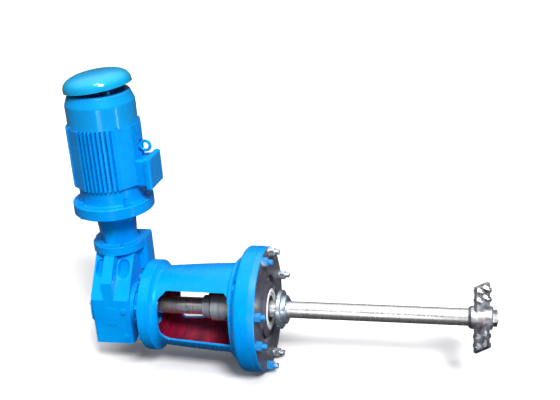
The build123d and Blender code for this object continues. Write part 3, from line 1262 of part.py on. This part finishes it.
# the hood sits askew on its four spacers, its right side higher than its left
hood_tilt = Location((MOTOR_X, CENTRE_DISTANCE, HOOD_RIM_Z), (0, -HOOD_TILT, 0)) * Location(
    (-MOTOR_X, -CENTRE_DISTANCE, -HOOD_RIM_Z))
hood_turns = [sin(radians(90 * k / HOOD_STEPS)) for k in range(HOOD_STEPS + 1)]
hood_outside = [(HOOD_R * turn, dome_z(HOOD_R * turn)) for turn in hood_turns]
hood_inside = [((HOOD_R - SHEET) * turn, dome_z((HOOD_R - SHEET) * turn, SHEET)) for turn in hood_turns]
write(hood_tilt * turned_on_motor(hood_outside + hood_inside[::-1]), "rain_hood")

under_hood = [(0, COWL_SHOULDER_Z), (HOOD_R - SHEET, COWL_SHOULDER_Z)]
under_hood += [(radius, height - 0.1) for radius, height in hood_inside[::-1]]
with BuildPart() as hood_spacers:
    for place in spots(MOTOR.offset(COWL_TOP_Z), POST_R, 4, 45):
        with BuildSketch(place):
            Circle(7)
        extrude(amount=HOOD_TOP_Z - COWL_TOP_Z)
    add(hood_tilt * turned_on_motor(under_hood), mode=Mode.INTERSECT)
write(hood_spacers.part, "hood_spacers")
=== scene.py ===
"""Looks of the side-entry mixer drive: a material for every CAD node, the floor, lights and camera.

Everything is in metres in the CAD frame: the origin is the centre of the mounting plate's tank-side
face, +X runs along the mixer shaft and +Z is up.
"""

import json
import math

import bpy
from mathutils import Matrix, Vector


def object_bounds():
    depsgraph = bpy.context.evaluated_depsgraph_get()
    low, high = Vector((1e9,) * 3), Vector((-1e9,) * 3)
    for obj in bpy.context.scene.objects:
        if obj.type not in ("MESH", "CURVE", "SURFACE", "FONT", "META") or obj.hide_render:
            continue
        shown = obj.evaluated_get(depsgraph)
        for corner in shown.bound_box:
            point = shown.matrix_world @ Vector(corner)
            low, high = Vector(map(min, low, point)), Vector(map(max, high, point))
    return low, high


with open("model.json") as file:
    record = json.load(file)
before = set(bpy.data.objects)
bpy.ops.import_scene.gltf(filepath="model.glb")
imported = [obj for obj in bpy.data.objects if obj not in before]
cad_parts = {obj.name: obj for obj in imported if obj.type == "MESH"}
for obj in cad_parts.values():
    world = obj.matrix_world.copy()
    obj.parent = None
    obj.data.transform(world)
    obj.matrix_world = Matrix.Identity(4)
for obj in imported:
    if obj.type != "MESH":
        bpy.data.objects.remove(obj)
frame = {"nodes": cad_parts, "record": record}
cad_low, cad_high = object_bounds()
nodes = frame["nodes"]


# ---------------------------------------------------------------- material building blocks
class Shader:
    """One procedural material: a Principled shader and the nodes that feed it.

    Coordinates are the row frame's metres, so a noise of scale 100 has features of about a centimetre.
    """

    def __init__(self, name, **constants):
        self.material = bpy.data.materials.new(name)
        self.material.use_nodes = True
        self.tree = self.material.node_tree
        self.principled = self.tree.nodes["Principled BSDF"]
        self.coordinates = self.tree.nodes.new("ShaderNodeTexCoord")
        for socket, value in constants.items():
            self.principled.inputs[socket.replace("_", " ")].default_value = value

    def node(self, kind, inputs=(), **settings):
        """A node with its settings, and its inputs given as (socket, value or output) pairs."""
        made = self.tree.nodes.new(kind)
        for name, value in settings.items():
            setattr(made, name, value)
        for socket, value in inputs:
            self.feed(made.inputs[socket], value)
        return made

    def feed(self, socket, value):
        if isinstance(value, bpy.types.NodeSocket):
            self.tree.links.new(value, socket)
        else:
            socket.default_value = value

    def place(self, stretch=(1.0, 1.0, 1.0), shift=(0.0, 0.0, 0.0)):
        """The piece's own coordinates, stretched and shifted."""
        mapping = self.node("ShaderNodeMapping", [("Vector", self.coordinates.outputs["Object"])])
        mapping.inputs["Scale"].default_value = stretch
        mapping.inputs["Location"].default_value = shift
        return mapping.outputs["Vector"]

    def axis(self, letter, of="Object"):
        """One component of the piece's coordinates, or of its normals."""
        split = self.node("ShaderNodeSeparateXYZ", [("Vector", self.coordinates.outputs[of])])
        return split.outputs[letter]

    def noise(self, scale, detail=4.0, roughness=0.55, stretch=(1.0, 1.0, 1.0), shift=(0.0, 0.0, 0.0)):
        texture = self.node("ShaderNodeTexNoise", [
            ("Vector", self.place(stretch, shift)), ("Scale", scale),
            ("Detail", detail), ("Roughness", roughness)])
        return texture.outputs["Fac"]

    def sums(self, operation, first, second=0.0, third=None):
        inputs = [(0, first), (1, second)] + ([] if third is None else [(2, third)])
        return self.node("ShaderNodeMath", inputs, operation=operation).outputs[0]

    def fade(self, value, start, end, low=0.0, high=1.0):
        """Low where the value is at start, high where it is at end, and smooth between."""
        remap = self.node("ShaderNodeMapRange", [
            ("Value", value), ("From Min", start), ("From Max", end), ("To Min", low), ("To Max", high)],
            interpolation_type="SMOOTHSTEP")
        return remap.outputs["Result"]

    def mix(self, factor, first, second):
        """A colour between two colours or colour outputs."""
        node = self.node("ShaderNodeMix", data_type="RGBA")
        self.feed(node.inputs["Factor"], factor)
        for socket, value in ((node.inputs[6], first), (node.inputs[7], second)):
            self.feed(socket, value if isinstance(value, bpy.types.NodeSocket) else (*value, 1.0))
        return node.outputs[2]

    def shades(self, factor, dark, light):
        """Two tones of a colour, dark where the factor is low."""
        return self.mix(self.fade(factor, 0.3, 0.7), dark, light)

    def radius(self):
        """Distance from the output axis."""
        square_to_axis = self.place((0.0, 1.0, 1.0))
        return self.node("ShaderNodeVectorMath", [(0, square_to_axis)], operation="LENGTH").outputs["Value"]

    def edges(self, width):
        """High along sharp edges, from the difference between rounded and true normals."""
        soft = self.node("ShaderNodeBevel", [("Radius", width)], samples=4)
        true = self.node("ShaderNodeNewGeometry").outputs["Normal"]
        likeness = self.node("ShaderNodeVectorMath", [(0, soft.outputs["Normal"]), (1, true)],
                             operation="DOT_PRODUCT")
        return self.fade(likeness.outputs["Value"], 0.98, 0.80)

    def bump(self, *layers):
        """Stacks (height, depth in metres) layers and feeds them to the shader's normal."""
        normal = None
        for height, depth in layers:
            node = self.node("ShaderNodeBump", [("Height", height), ("Distance", depth), ("Strength", 1.0)])
            if normal is not None:
                self.feed(node.inputs["Normal"], normal)
            normal = node.outputs["Normal"]
        self.feed(self.principled.inputs["Normal"], normal)

    def colour(self, value):
        self.feed(self.principled.inputs["Base Color"], value)

    def roughness(self, value):
        self.feed(self.principled.inputs["Roughness"], value)


# ---------------------------------------------------------------- paint
AZURE = (0.0, 0.300, 0.800)
AZURE_DEEP = (0.0, 0.245, 0.730)
AZURE_PALE = (0.0, 0.370, 0.880)
# pale cyan for sharp edges: a painted highlight on the edges, and paint wear
EDGE_WEAR_AND_GLINT = (0.05, 0.60, 0.98)
OVERSPRAY = (0.0, 0.200, 0.520)
TEAL = (0.010, 0.380, 0.560)
RED_BRIGHT = (0.46, 0.006, 0.050)
RED_OXIDE = (0.300, 0.004, 0.030)
RED_DARK = (0.120, 0.002, 0.014)
PRIMER_GREY = (0.110, 0.110, 0.145)
PRIMER_DARK = (0.055, 0.055, 0.078)
PRIMER_SCUFF = (0.22, 0.22, 0.26)
SEALANT = (0.80, 0.81, 0.81)
# the sheen of the enamel, tinted so that soft reflections deepen the blue instead of greying it
GLOSS = {"Specular_IOR_Level": 0.45, "Specular_Tint": (0.04, 0.55, 1.0, 1.0), "Coat_Weight": 0.10}
PAINT_ROUGHNESS = (0.22, 0.36)
# the grain of the metal under the paint, as a noise scale and a depth in metres
CAST_GRAIN = (170.0, 0.0007)
SHEET_GRAIN = (420.0, 0.00015)
# the slow waves in the paint, the same way
SAGS = (22.0, 0.0012)
LANTERN_SAGS = (20.0, 0.0015)
# width and strength of the painted edge highlight and wear
EDGE_WIDTH = 0.0022
EDGE_WEAR_AND_GLINT_AMOUNT = 0.5


def azure_paint(shader):
    """Glossy azure enamel in close tones, paler cyan along sharp edges as a painted highlight and as wear;
    also gives a mottle for its gloss.
    """
    drift = shader.noise(3.5, detail=3.0)
    brushed = shader.noise(34.0, detail=3.0, stretch=(1.0, 1.0, 0.35))
    paint = shader.mix(shader.fade(drift, 0.35, 0.65), AZURE_DEEP, AZURE)
    paint = shader.mix(shader.fade(brushed, 0.50, 0.80, high=0.30), paint, AZURE_PALE)
    # paler cyan along sharp edges, broken up by noise: painted edge highlight, and wear
    wear_and_glint_breakup = shader.fade(shader.noise(70.0, detail=5.0), 0.42, 0.60)
    wear_and_glint = shader.sums("MULTIPLY", shader.sums("MULTIPLY", shader.edges(EDGE_WIDTH), wear_and_glint_breakup), EDGE_WEAR_AND_GLINT_AMOUNT)
    return shader.mix(wear_and_glint, paint, EDGE_WEAR_AND_GLINT), shader.noise(60.0, detail=6.0, roughness=0.7)


def painted_surface(shader, grain, sags):
    """Grain that shows through the paint, and the paint's own slow waves."""
    shader.bump((shader.noise(grain[0], detail=5.0, roughness=0.6), grain[1]),
                (shader.noise(sags[0], detail=2.0), sags[1]))


def enamel(name, grain, teal=0.0, **constants):
    """Azure enamel, more or less teal, over metal with that grain."""
    shader = Shader(name, **{"Coat_Roughness": 0.08, **GLOSS, **constants})
    paint, mottle = azure_paint(shader)
    shader.colour(shader.mix(teal, paint, TEAL))
    shader.roughness(shader.fade(mottle, 0.4, 0.7, *PAINT_ROUGHNESS))
    painted_surface(shader, grain, SAGS)
    return shader.material


BORE_TAPER = 0.0642         # the lantern's bore widens by this much of its length
BORE_AT_ORIGIN = 0.1895     # and has this radius at the origin


def lantern_enamel():
    """Azure outside and on the window edges, dull red primer on the inside."""
    shader = Shader("lantern_enamel", Coat_Roughness=0.14, **GLOSS)
    paint, mottle = azure_paint(shader)
    bore = shader.sums("MULTIPLY_ADD", shader.axis("X"), BORE_TAPER, BORE_AT_ORIGIN)
    inside = shader.fade(shader.sums("SUBTRACT", shader.radius(), bore), 0.003, 0.001)
    shader.colour(shader.mix(inside, paint, red_primer(shader)))
    gloss = shader.fade(mottle, 0.4, 0.7, *PAINT_ROUGHNESS)
    shader.roughness(shader.sums("ADD", gloss, shader.sums("MULTIPLY", inside, 0.18)))
    painted_surface(shader, CAST_GRAIN, LANTERN_SAGS)
    return shader.material


def red_primer(shader):
    """Red oxide brushed on in streaks round the bore."""
    streaks = shader.noise(26.0, detail=4.0, stretch=(1.0, 0.25, 0.25))
    clouds = shader.noise(9.0, detail=3.0, shift=(3.0, 1.0, 0.0))
    red = shader.mix(shader.fade(streaks, 0.35, 0.70), RED_DARK, RED_OXIDE)
    return shader.mix(shader.fade(clouds, 0.50, 0.70, high=0.7), red, RED_BRIGHT)


def housing_enamel():
    """Azure outside, red primer on the face that closes the lantern's bore."""
    shader = Shader("housing_enamel", Coat_Roughness=0.14, **GLOSS)
    paint, mottle = azure_paint(shader)
    facing = shader.fade(shader.axis("X", "Normal"), 0.7, 0.9)
    in_bore = shader.fade(shader.radius(), 0.174, 0.172)
    near_end = shader.fade(shader.axis("X"), -0.512, -0.506)
    inside = shader.sums("MULTIPLY", shader.sums("MULTIPLY", facing, in_bore), near_end)
    shader.colour(shader.mix(inside, paint, red_primer(shader)))
    shader.roughness(shader.fade(mottle, 0.4, 0.7, *PAINT_ROUGHNESS))
    painted_surface(shader, CAST_GRAIN, LANTERN_SAGS)
    return shader.material


def plate_primer():
    """Mottled grey primer, with azure overspray, sealant round the ring, and red inside the lantern."""
    shader = Shader("plate_primer", Coat_Weight=0.15, Coat_Roughness=0.3)
    paint, _ = azure_paint(shader)
    mottle = shader.noise(14.0, detail=6.0, roughness=0.65)
    grey = shader.shades(mottle, PRIMER_DARK, PRIMER_GREY)
    scuffs = shader.fade(shader.noise(55.0, detail=5.0, stretch=(1.0, 0.3, 1.0)), 0.60, 0.70)
    grey = shader.mix(shader.sums("MULTIPLY", scuffs, 0.35), grey, PRIMER_SCUFF)
    ragged = shader.sums("ADD", shader.radius(), shader.sums("MULTIPLY", mottle, 0.010))
    rim = shader.fade(ragged, 0.2665, 0.2715)
    front = shader.fade(shader.axis("Y"), -0.13, -0.24)
    drips = shader.fade(shader.noise(16.0, detail=4.0, shift=(0.0, 2.3, 0.7)), 0.56, 0.66)
    patches = shader.sums("MULTIPLY", shader.sums("MULTIPLY", front, drips), 0.7)
    spray = shader.sums("MAXIMUM", rim, patches)
    face = shader.mix(spray, grey, paint)
    round_ring = shader.fade(ragged, 0.0935, 0.0915)
    tank_side = shader.fade(shader.axis("X"), 0.006, 0.008)
    face = shader.mix(shader.sums("MULTIPLY", round_ring, tank_side), face, SEALANT)
    backside = shader.fade(shader.axis("X"), -0.020, -0.026)
    in_bore = shader.fade(shader.radius(), 0.232, 0.228)
    shader.colour(shader.mix(shader.sums("MULTIPLY", backside, in_bore), face, red_primer(shader)))
    shader.roughness(shader.fade(spray, 0.0, 1.0, 0.48, 0.26))
    shader.bump((shader.noise(230.0, detail=4.0), 0.0004), (mottle, 0.0008))
    return shader.material


# ---------------------------------------------------------------- metals
def turned_steel(name, bright, dim, along, rough=(0.24, 0.36), metallic=1.0,
                 stain=(0.30, 0.26, 0.22), stain_amount=0.15):
    """Machined steel: fine rings round the axis, with lengthways streaks and a few stains."""
    shader = Shader(name, Metallic=metallic)
    fine = {"X": (1.0, 0.02, 0.02), "Z": (0.02, 0.02, 1.0)}[along]
    rings = shader.noise(900.0, detail=3.0, roughness=0.7, stretch=fine)
    bands = shader.noise(60.0, detail=4.0, stretch=fine)
    clouds = shader.noise(11.0, detail=5.0, roughness=0.6)
    metal = shader.mix(shader.fade(bands, 0.3, 0.7), dim, bright)
    stained = shader.sums("MULTIPLY", shader.fade(clouds, 0.55, 0.75), stain_amount)
    shader.colour(shader.mix(stained, metal, stain))
    shader.roughness(shader.fade(shader.sums("ADD", bands, clouds), 0.7, 1.35, *rough))
    shader.bump((rings, 0.000002))
    return shader.material


SMEAR_PLACE = (0.908, -0.042, -0.032)
MARKING_DYE = (0.55, 0.02, 0.03)


def cast_steel():
    """Stainless hub: satin faces with weld tint and a smear of red marking dye."""
    shader = Shader("hub_steel", Metallic=1.0)
    clouds = shader.noise(26.0, detail=6.0, roughness=0.65)
    metal = shader.mix(shader.fade(clouds, 0.3, 0.7), (0.40, 0.42, 0.47), (0.74, 0.74, 0.77))
    tint = shader.fade(shader.noise(34.0, detail=3.0, shift=(5.0, 0.0, 2.0)), 0.54, 0.68)
    metal = shader.mix(shader.sums("MULTIPLY", tint, 0.45), metal, (0.30, 0.20, 0.14))
    spot = shader.node("ShaderNodeVectorMath", [
        (0, shader.coordinates.outputs["Object"]), (1, SMEAR_PLACE)], operation="DISTANCE")
    ragged = shader.sums("ADD", spot.outputs["Value"], shader.sums("MULTIPLY", clouds, 0.030))
    smear = shader.fade(ragged, 0.040, 0.028)
    shader.colour(shader.mix(smear, metal, MARKING_DYE))
    shader.roughness(shader.fade(clouds, 0.3, 0.7, 0.28, 0.46))
    shader.bump((shader.noise(300.0, detail=4.0), 0.0002), (clouds, 0.0006))
    return shader.material


def zinc_plate():
    """Zinc-plated fasteners, oversprayed in azure towards the front of the plate."""
    shader = Shader("zinc_plate")
    grain = shader.noise(140.0, detail=4.0)
    zinc = shader.shades(grain, (0.50, 0.55, 0.60), (0.80, 0.84, 0.88))
    patches = shader.noise(13.0, detail=2.0, shift=(0.0, 4.1, 1.7))
    leaning = shader.sums("MULTIPLY_ADD", shader.axis("Y"), -1.1, patches)
    spray = shader.fade(leaning, 0.45, 0.62)
    shader.colour(shader.mix(shader.sums("MULTIPLY", spray, 0.98), zinc, OVERSPRAY))
    shader.feed(shader.principled.inputs["Metallic"], shader.fade(spray, 0.0, 1.0, 0.9, 0.0))
    shader.roughness(shader.fade(grain, 0.3, 0.7, 0.22, 0.38))
    shader.bump((grain, 0.0003))
    return shader.material


def plain_metal(name, dim, bright, rough, grain=120.0, depth=0.0003, metallic=1.0):
    """A metal in two tones with even grain."""
    shader = Shader(name, Metallic=metallic)
    fine = shader.noise(grain, detail=5.0, roughness=0.6)
    clouds = shader.noise(grain / 9, detail=4.0)
    shader.colour(shader.shades(clouds, dim, bright))
    shader.roughness(shader.fade(fine, 0.25, 0.75, *rough))
    shader.bump((fine, depth))
    return shader.material


def laminated(name, dim, bright):
    """Stacked electrical sheet: half-millimetre lines square to the motor axis."""
    shader = Shader(name, Metallic=1.0)
    lines = shader.noise(1000.0, detail=1.0, stretch=(0.01, 0.01, 1.0))
    clouds = shader.noise(30.0, detail=4.0)
    shader.colour(shader.mix(shader.fade(lines, 0.4, 0.6), dim, bright))
    shader.roughness(shader.fade(clouds, 0.3, 0.7, 0.35, 0.55))
    shader.bump((lines, 0.0002))
    return shader.material


def windings():
    """Varnished copper wire wound round the motor axis."""
    shader = Shader("varnished_copper", Metallic=0.7, Coat_Weight=0.5, Coat_Roughness=0.2)
    strands = shader.noise(700.0, detail=2.0, stretch=(0.15, 0.15, 1.0))
    shader.colour(shader.shades(strands, (0.22, 0.055, 0.02), (0.62, 0.22, 0.08)))
    shader.roughness(shader.fade(strands, 0.3, 0.7, 0.30, 0.50))
    shader.bump((strands, 0.0006))
    return shader.material


# ---------------------------------------------------------------- polymers
def polymer(name, dark, light, rough, grain=220.0, depth=0.0002, **constants):
    """A moulded or turned plastic, rubber or ceramic in two close tones."""
    shader = Shader(name, **constants)
    fine = shader.noise(grain, detail=4.0)
    clouds = shader.noise(grain / 12, detail=4.0)
    shader.colour(shader.shades(clouds, dark, light))
    shader.roughness(shader.fade(fine, 0.3, 0.7, *rough))
    shader.bump((fine, depth))
    return shader.material


SLOT_MATERIALS = {
    "blue_paint": enamel("cast_enamel", CAST_GRAIN),
    "plate_grey": plate_primer(),
    "white_polymer": polymer("white_polymer", (0.84, 0.85, 0.85), (0.94, 0.94, 0.93), (0.32, 0.48)),
    "zinc_steel": zinc_plate(),
    "polished_steel": turned_steel("polished_steel", (0.88, 0.88, 0.88), (0.72, 0.72, 0.74), "X",
                                   stain_amount=0.10, metallic=0.9),
    "dark_steel": turned_steel("dark_steel", (0.56, 0.60, 0.66), (0.40, 0.43, 0.48), "X", rough=(0.30, 0.45),
                               stain=(0.20, 0.16, 0.14), stain_amount=0.5, metallic=0.7),
    "bearing_steel": turned_steel("bearing_steel", (0.72, 0.72, 0.73), (0.58, 0.58, 0.60), "Z"),
    "bronze": plain_metal("bronze", (0.46, 0.25, 0.07), (0.72, 0.45, 0.17), (0.20, 0.36)),
    "grey_iron": plain_metal("grey_iron", (0.12, 0.12, 0.12), (0.24, 0.24, 0.25), (0.45, 0.65),
                             grain=260.0, depth=0.0008, metallic=0.6),
    "core_steel": laminated("core_steel", (0.20, 0.20, 0.21), (0.36, 0.36, 0.38)),
    "winding_copper": windings(),
    "fan_plastic": polymer("fan_plastic", (0.020, 0.020, 0.022), (0.045, 0.045, 0.050), (0.38, 0.52)),
    "board_plastic": polymer("board_plastic", (0.10, 0.045, 0.02), (0.20, 0.09, 0.045), (0.40, 0.55)),
    "spider_polymer": polymer("spider_polymer", (0.48, 0.08, 0.03), (0.66, 0.14, 0.06), (0.35, 0.50)),
    "seal_rubber": polymer("seal_rubber", (0.018, 0.016, 0.015), (0.035, 0.030, 0.028), (0.45, 0.65)),
    "seal_face": polymer("seal_face", (0.05, 0.05, 0.055), (0.10, 0.10, 0.11), (0.12, 0.22)),
}
HUB_STEEL = cast_steel()
# the nodes that look different from the rest of their slot
NODE_MATERIALS = {
    "lantern": lantern_enamel(),
    "output_housing": housing_enamel(),
    "impeller_hub": HUB_STEEL,
    "hub_fasteners": HUB_STEEL,
    "terminal_box_lid": enamel("lid_enamel", SHEET_GRAIN, Coat_Weight=0.02),
    "rain_hood": enamel("hood_enamel", SHEET_GRAIN, teal=0.6, Coat_Weight=0.8, Coat_Roughness=0.05),
    "fan_cowl": enamel("cowl_enamel", SHEET_GRAIN, teal=0.25, Coat_Weight=0.5),
    "shutoff_collar": turned_steel("collar_steel", (0.74, 0.84, 0.92), (0.50, 0.62, 0.74), "X",
                                   rough=(0.20, 0.32), metallic=0.9),
}

slot_of = {part["node"]: part["material_slot"] for part in frame["record"]["subparts"]}
for name, node in nodes.items():
    material = NODE_MATERIALS.get(name, SLOT_MATERIALS[slot_of[name]])
    node.data.materials.clear()
    node.data.materials.append(material)


# ---------------------------------------------------------------- floor, light and camera
# where the lights aim
MOTOR = (-0.69, 0.10, 0.85)
LANTERN_WINDOW = (-0.30, 0.0, 0.0)
FLOOR_HALF = 40.0
BACKDROP_HALF = 39.0
BACKDROP_TOP = 60.0


def corners_at(half, height):
    """The four corners of a square round the Z axis at that height, in order."""
    return [(x, y, height) for x, y in ((-half, -half), (half, -half), (half, half), (-half, half))]


def plain_stage(name, vertices, faces, shader):
    """A surface behind the drive that only the camera sees, so it gives the drive no light or shadow."""
    mesh = bpy.data.meshes.new(name)
    mesh.from_pydata(vertices, [], faces)
    mesh.materials.append(shader.material)
    stage = bpy.data.objects.new(name, mesh)
    bpy.context.scene.collection.objects.link(stage)
    stage.visible_glossy = False
    stage.visible_diffuse = False
    stage.visible_shadow = False
    return stage


def pale_shader(name, **constants):
    """A pale matt surface in two close greys."""
    shader = Shader(name, **constants)
    shader.colour(shader.shades(shader.noise(2.0), (0.80, 0.80, 0.80), (0.83, 0.83, 0.83)))
    return shader


def pale_floor():
    """A plain pale floor just under the lantern's flange."""
    shader = pale_shader("pale_floor")
    shader.roughness(shader.fade(shader.noise(30.0), 0.3, 0.7, 0.75, 0.90))
    corners = corners_at(FLOOR_HALF, cad_low.z - 0.002)
    floor = plain_stage("floor", corners, [(0, 1, 2, 3)], shader)


def pale_backdrop():
    """A pale wall round the far edge of the floor, for views from low down."""
    shader = pale_shader("pale_backdrop", Emission_Color=(1.0, 1.0, 1.0, 1.0), Emission_Strength=1.0)
    corners = corners_at(BACKDROP_HALF, cad_low.z - 1.0) + corners_at(BACKDROP_HALF, BACKDROP_TOP)
    sides = [(k, (k + 1) % 4, (k + 1) % 4 + 4, k + 4) for k in range(4)]
    wall = plain_stage("backdrop", corners, sides, shader)


def studio_world():
    """A pale sky that is brightest overhead, over a dark ground that only reflections see."""
    world = bpy.data.worlds.new("studio")
    bpy.context.scene.world = world
    world.use_nodes = True
    tree = world.node_tree
    background = tree.nodes["Background"]
    direction = tree.nodes.new("ShaderNodeTexCoord")
    split = tree.nodes.new("ShaderNodeSeparateXYZ")
    height = tree.nodes.new("ShaderNodeMapRange")
    height.inputs["From Min"].default_value = -1.0
    ramp = tree.nodes.new("ShaderNodeValToRGB")
    stops = [(0.0, 0.03), (0.22, 0.04), (0.34, 0.14), (0.46, 0.05), (0.56, 0.05), (0.72, 0.12), (0.85, 0.80),
             (1.0, 1.60)]
    elements = ramp.color_ramp.elements
    elements[0].position, elements[1].position = stops[0][0], stops[-1][0]
    for position, _ in stops[1:-1]:
        elements.new(position)
    for element, (_, level) in zip(elements, stops):
        element.color = (level, level, level * 1.02, 1.0)
    tree.links.new(direction.outputs["Generated"], split.inputs[0])
    tree.links.new(split.outputs["Z"], height.inputs["Value"])
    tree.links.new(height.outputs["Result"], ramp.inputs["Fac"])
    tree.links.new(ramp.outputs["Color"], background.inputs["Color"])
    background.inputs["Strength"].default_value = 1.0


def aim(lamp, azimuth, elevation):
    """Turns a lamp to shine from an azimuth, measured from +X towards +Y, and gives that direction."""
    bpy.context.scene.collection.objects.link(lamp)
    turn, rise = math.radians(azimuth), math.radians(elevation)
    away = Vector((math.cos(turn) * math.cos(rise), math.sin(turn) * math.cos(rise), math.sin(rise)))
    lamp.rotation_mode = "QUATERNION"
    lamp.rotation_quaternion = away.to_track_quat("Z", "Y")
    return away


def softbox(name, azimuth, elevation, distance, size, power, target):
    """A rectangular area light at a distance from its target."""
    light = bpy.data.lights.new(name, "AREA")
    light.shape = "RECTANGLE"
    light.size, light.size_y = size
    light.energy = power
    box = bpy.data.objects.new(name, light)
    box.location = Vector(target) + aim(box, azimuth, elevation) * distance


def sun(azimuth, elevation, strength, angle):
    light = bpy.data.lights.new("sun", "SUN")
    light.energy = strength
    light.angle = math.radians(angle)
    aim(bpy.data.objects.new("sun", light), azimuth, elevation)


def camera():
    """The camera in front of the tank end, above the motor, looking down and a little to the left."""
    place = Vector((0.8771, -3.2971, 1.8314))
    yaw, pitch, roll = 0.236, 0.373, -0.072
    ahead = Vector((-math.sin(yaw) * math.cos(pitch), math.cos(yaw) * math.cos(pitch), -math.sin(pitch)))
    level = Vector((math.cos(yaw), math.sin(yaw), 0.0))
    upward = level.cross(ahead)
    right = math.cos(roll) * level + math.sin(roll) * upward
    top = math.cos(roll) * upward - math.sin(roll) * level
    lens = bpy.data.cameras.new("camera")
    lens.sensor_width = 36.0
    lens.lens = 57.45
    lens.clip_end = 200.0
    view = bpy.data.objects.new("camera", lens)
    view.matrix_world = Matrix((right, top, -ahead)).transposed().to_4x4()
    view.location = place
    bpy.context.scene.collection.objects.link(view)
    bpy.context.scene.camera = view


pale_floor()
pale_backdrop()
studio_world()
sun(-56.0, 46.0, 3.7, 16.0)
softbox("right_strip", -18.0, -18.0, 4.0, (0.30, 2.0), 14.0, MOTOR)
softbox("front_strip", -77.0, -16.0, 4.0, (0.9, 1.6), 10.0, MOTOR)
softbox("top_box", -78.0, 66.0, 4.0, (1.0, 1.0), 40.0, MOTOR)
softbox("window_box", -84.0, 9.0, 2.6, (0.5, 0.3), 9.0, LANTERN_WINDOW)
camera()
bpy.context.scene.view_settings.view_transform = "Standard"
